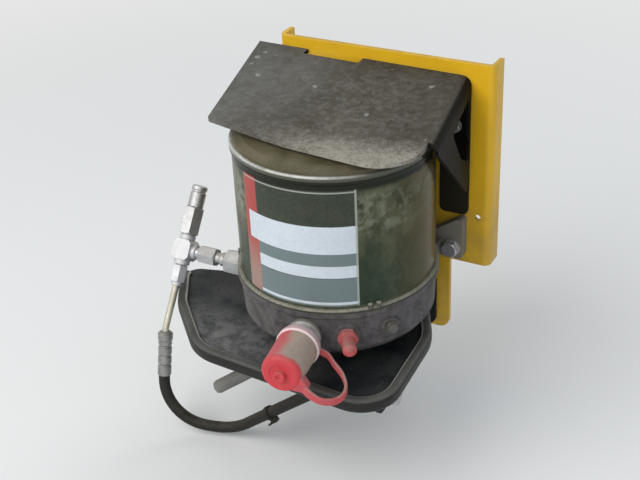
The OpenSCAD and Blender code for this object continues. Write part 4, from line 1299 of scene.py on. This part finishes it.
# %% Grey plastic
grey_plastic = weathered("grey_plastic", (124, 124, 119), (92, 92, 89), (118, 114, 105), tone_scale=70.0,
                         dust_amount=0.5, corners=0.4, rough=0.5, relief=0.03, seed=31.0)
grey_plastic.onto("power_inlet")
print(len(bpy.data.materials), "materials")

# %% [markdown]
# ## Floor
# The unit is shown over a plain pale floor. Seen from the camera, the far floor blends into the
# backdrop's own pale tone, so that no horizon shows, while its light on the unit stays that of a
# real floor.

# %% Floor
FLOOR_Z = cad_box[0].z - 4 * MM
FLOOR_R, FLOOR_SIDES = 6, 96
BACKDROP = srgb(232, 232, 231)
BLEND_FROM, BLEND_TO = 0.45, 1.5
bpy.ops.mesh.primitive_circle_add(vertices=FLOOR_SIDES, radius=FLOOR_R, fill_type="NGON",
                                  location=(0, 0, FLOOR_Z))
floor = bpy.context.object
floor.name = "floor"
pale_floor = Surface("floor", {"Base Color": srgb(226, 226, 224), "Roughness": 0.9})
away = pale_floor.put("ShaderNodeVectorMath", {0: pale_floor.position()}, operation="LENGTH")
far_off = pale_floor.between(away.outputs["Value"], BLEND_FROM, BLEND_TO)
path = pale_floor.put("ShaderNodeLightPath").outputs
shows = pale_floor.most(path["Is Camera Ray"], path["Is Glossy Ray"])
haze = pale_floor.put("ShaderNodeEmission", {"Color": BACKDROP, "Strength": 1.0})
plain = pale_floor.tree.nodes["Principled BSDF"]
ground = pale_floor.put("ShaderNodeMixShader", {0: pale_floor.times(far_off, shows), 1: plain.outputs[0],
                                                2: haze.outputs[0]})
pale_floor.link(ground.outputs[0], pale_floor.tree.nodes["Material Output"].inputs["Surface"])
pale_floor.onto("floor")

# %% [markdown]
# ## Lamps
# The light is soft studio light. A large key lamp above, in front and to the left draws the
# highlight on the tank's bead. A weaker, cooler fill lamp stands low in front and to the right, and
# a small lamp behind lifts the back edges off the backdrop.

# %% Lamps
def lamp(name, place, size, watts, warmth):
    """A round lamp that looks at the unit."""
    data = bpy.data.lights.new(name, "AREA")
    data.shape = "DISK"
    data.size = size
    data.energy = watts
    data.color = warmth
    obj = bpy.data.objects.new(name, data)
    bpy.context.scene.collection.objects.link(obj)
    obj.location = place
    obj.rotation_euler = (AIM_AT - Vector(place)).to_track_quat("-Z", "Y").to_euler()


lamp("key", (-0.7, -1.5, 1.5), 1.9, 33, (1.0, 0.98, 0.95))
lamp("fill", (0.7, -1.9, 0.5), 1.6, 8, (0.95, 0.97, 1.0))
lamp("back", (0.3, 1.4, 1.3), 1.2, 8, (1.0, 1.0, 1.0))

# %% [markdown]
# ## World
# The world lights the unit with a weak, slightly blue sky, which fills the shadows as open shade
# does. The camera and mirror-like surfaces see the pale backdrop in its place.

# %% World
world = bpy.data.worlds.new("world")
bpy.context.scene.world = world
world.use_nodes = True
around = Nodes("world", world.node_tree)
sky = world.node_tree.nodes["Background"]
sky.inputs["Color"].default_value = (0.86, 0.92, 1.0, 1)
sky.inputs["Strength"].default_value = 0.55
backdrop = around.put("ShaderNodeBackground", {"Color": BACKDROP, "Strength": 1.0})
path = around.put("ShaderNodeLightPath").outputs
straight_on = around.most(path["Is Camera Ray"], path["Is Transmission Ray"])
shows = around.most(straight_on, path["Is Glossy Ray"])
shown = around.put("ShaderNodeMixShader", {0: shows, 1: sky.outputs[0], 2: backdrop.outputs[0]})
around.link(shown.outputs[0], world.node_tree.nodes["World Output"].inputs["Surface"])
bpy.context.scene.view_settings.view_transform = "Standard"
print("world with", len(world.node_tree.nodes), "nodes")
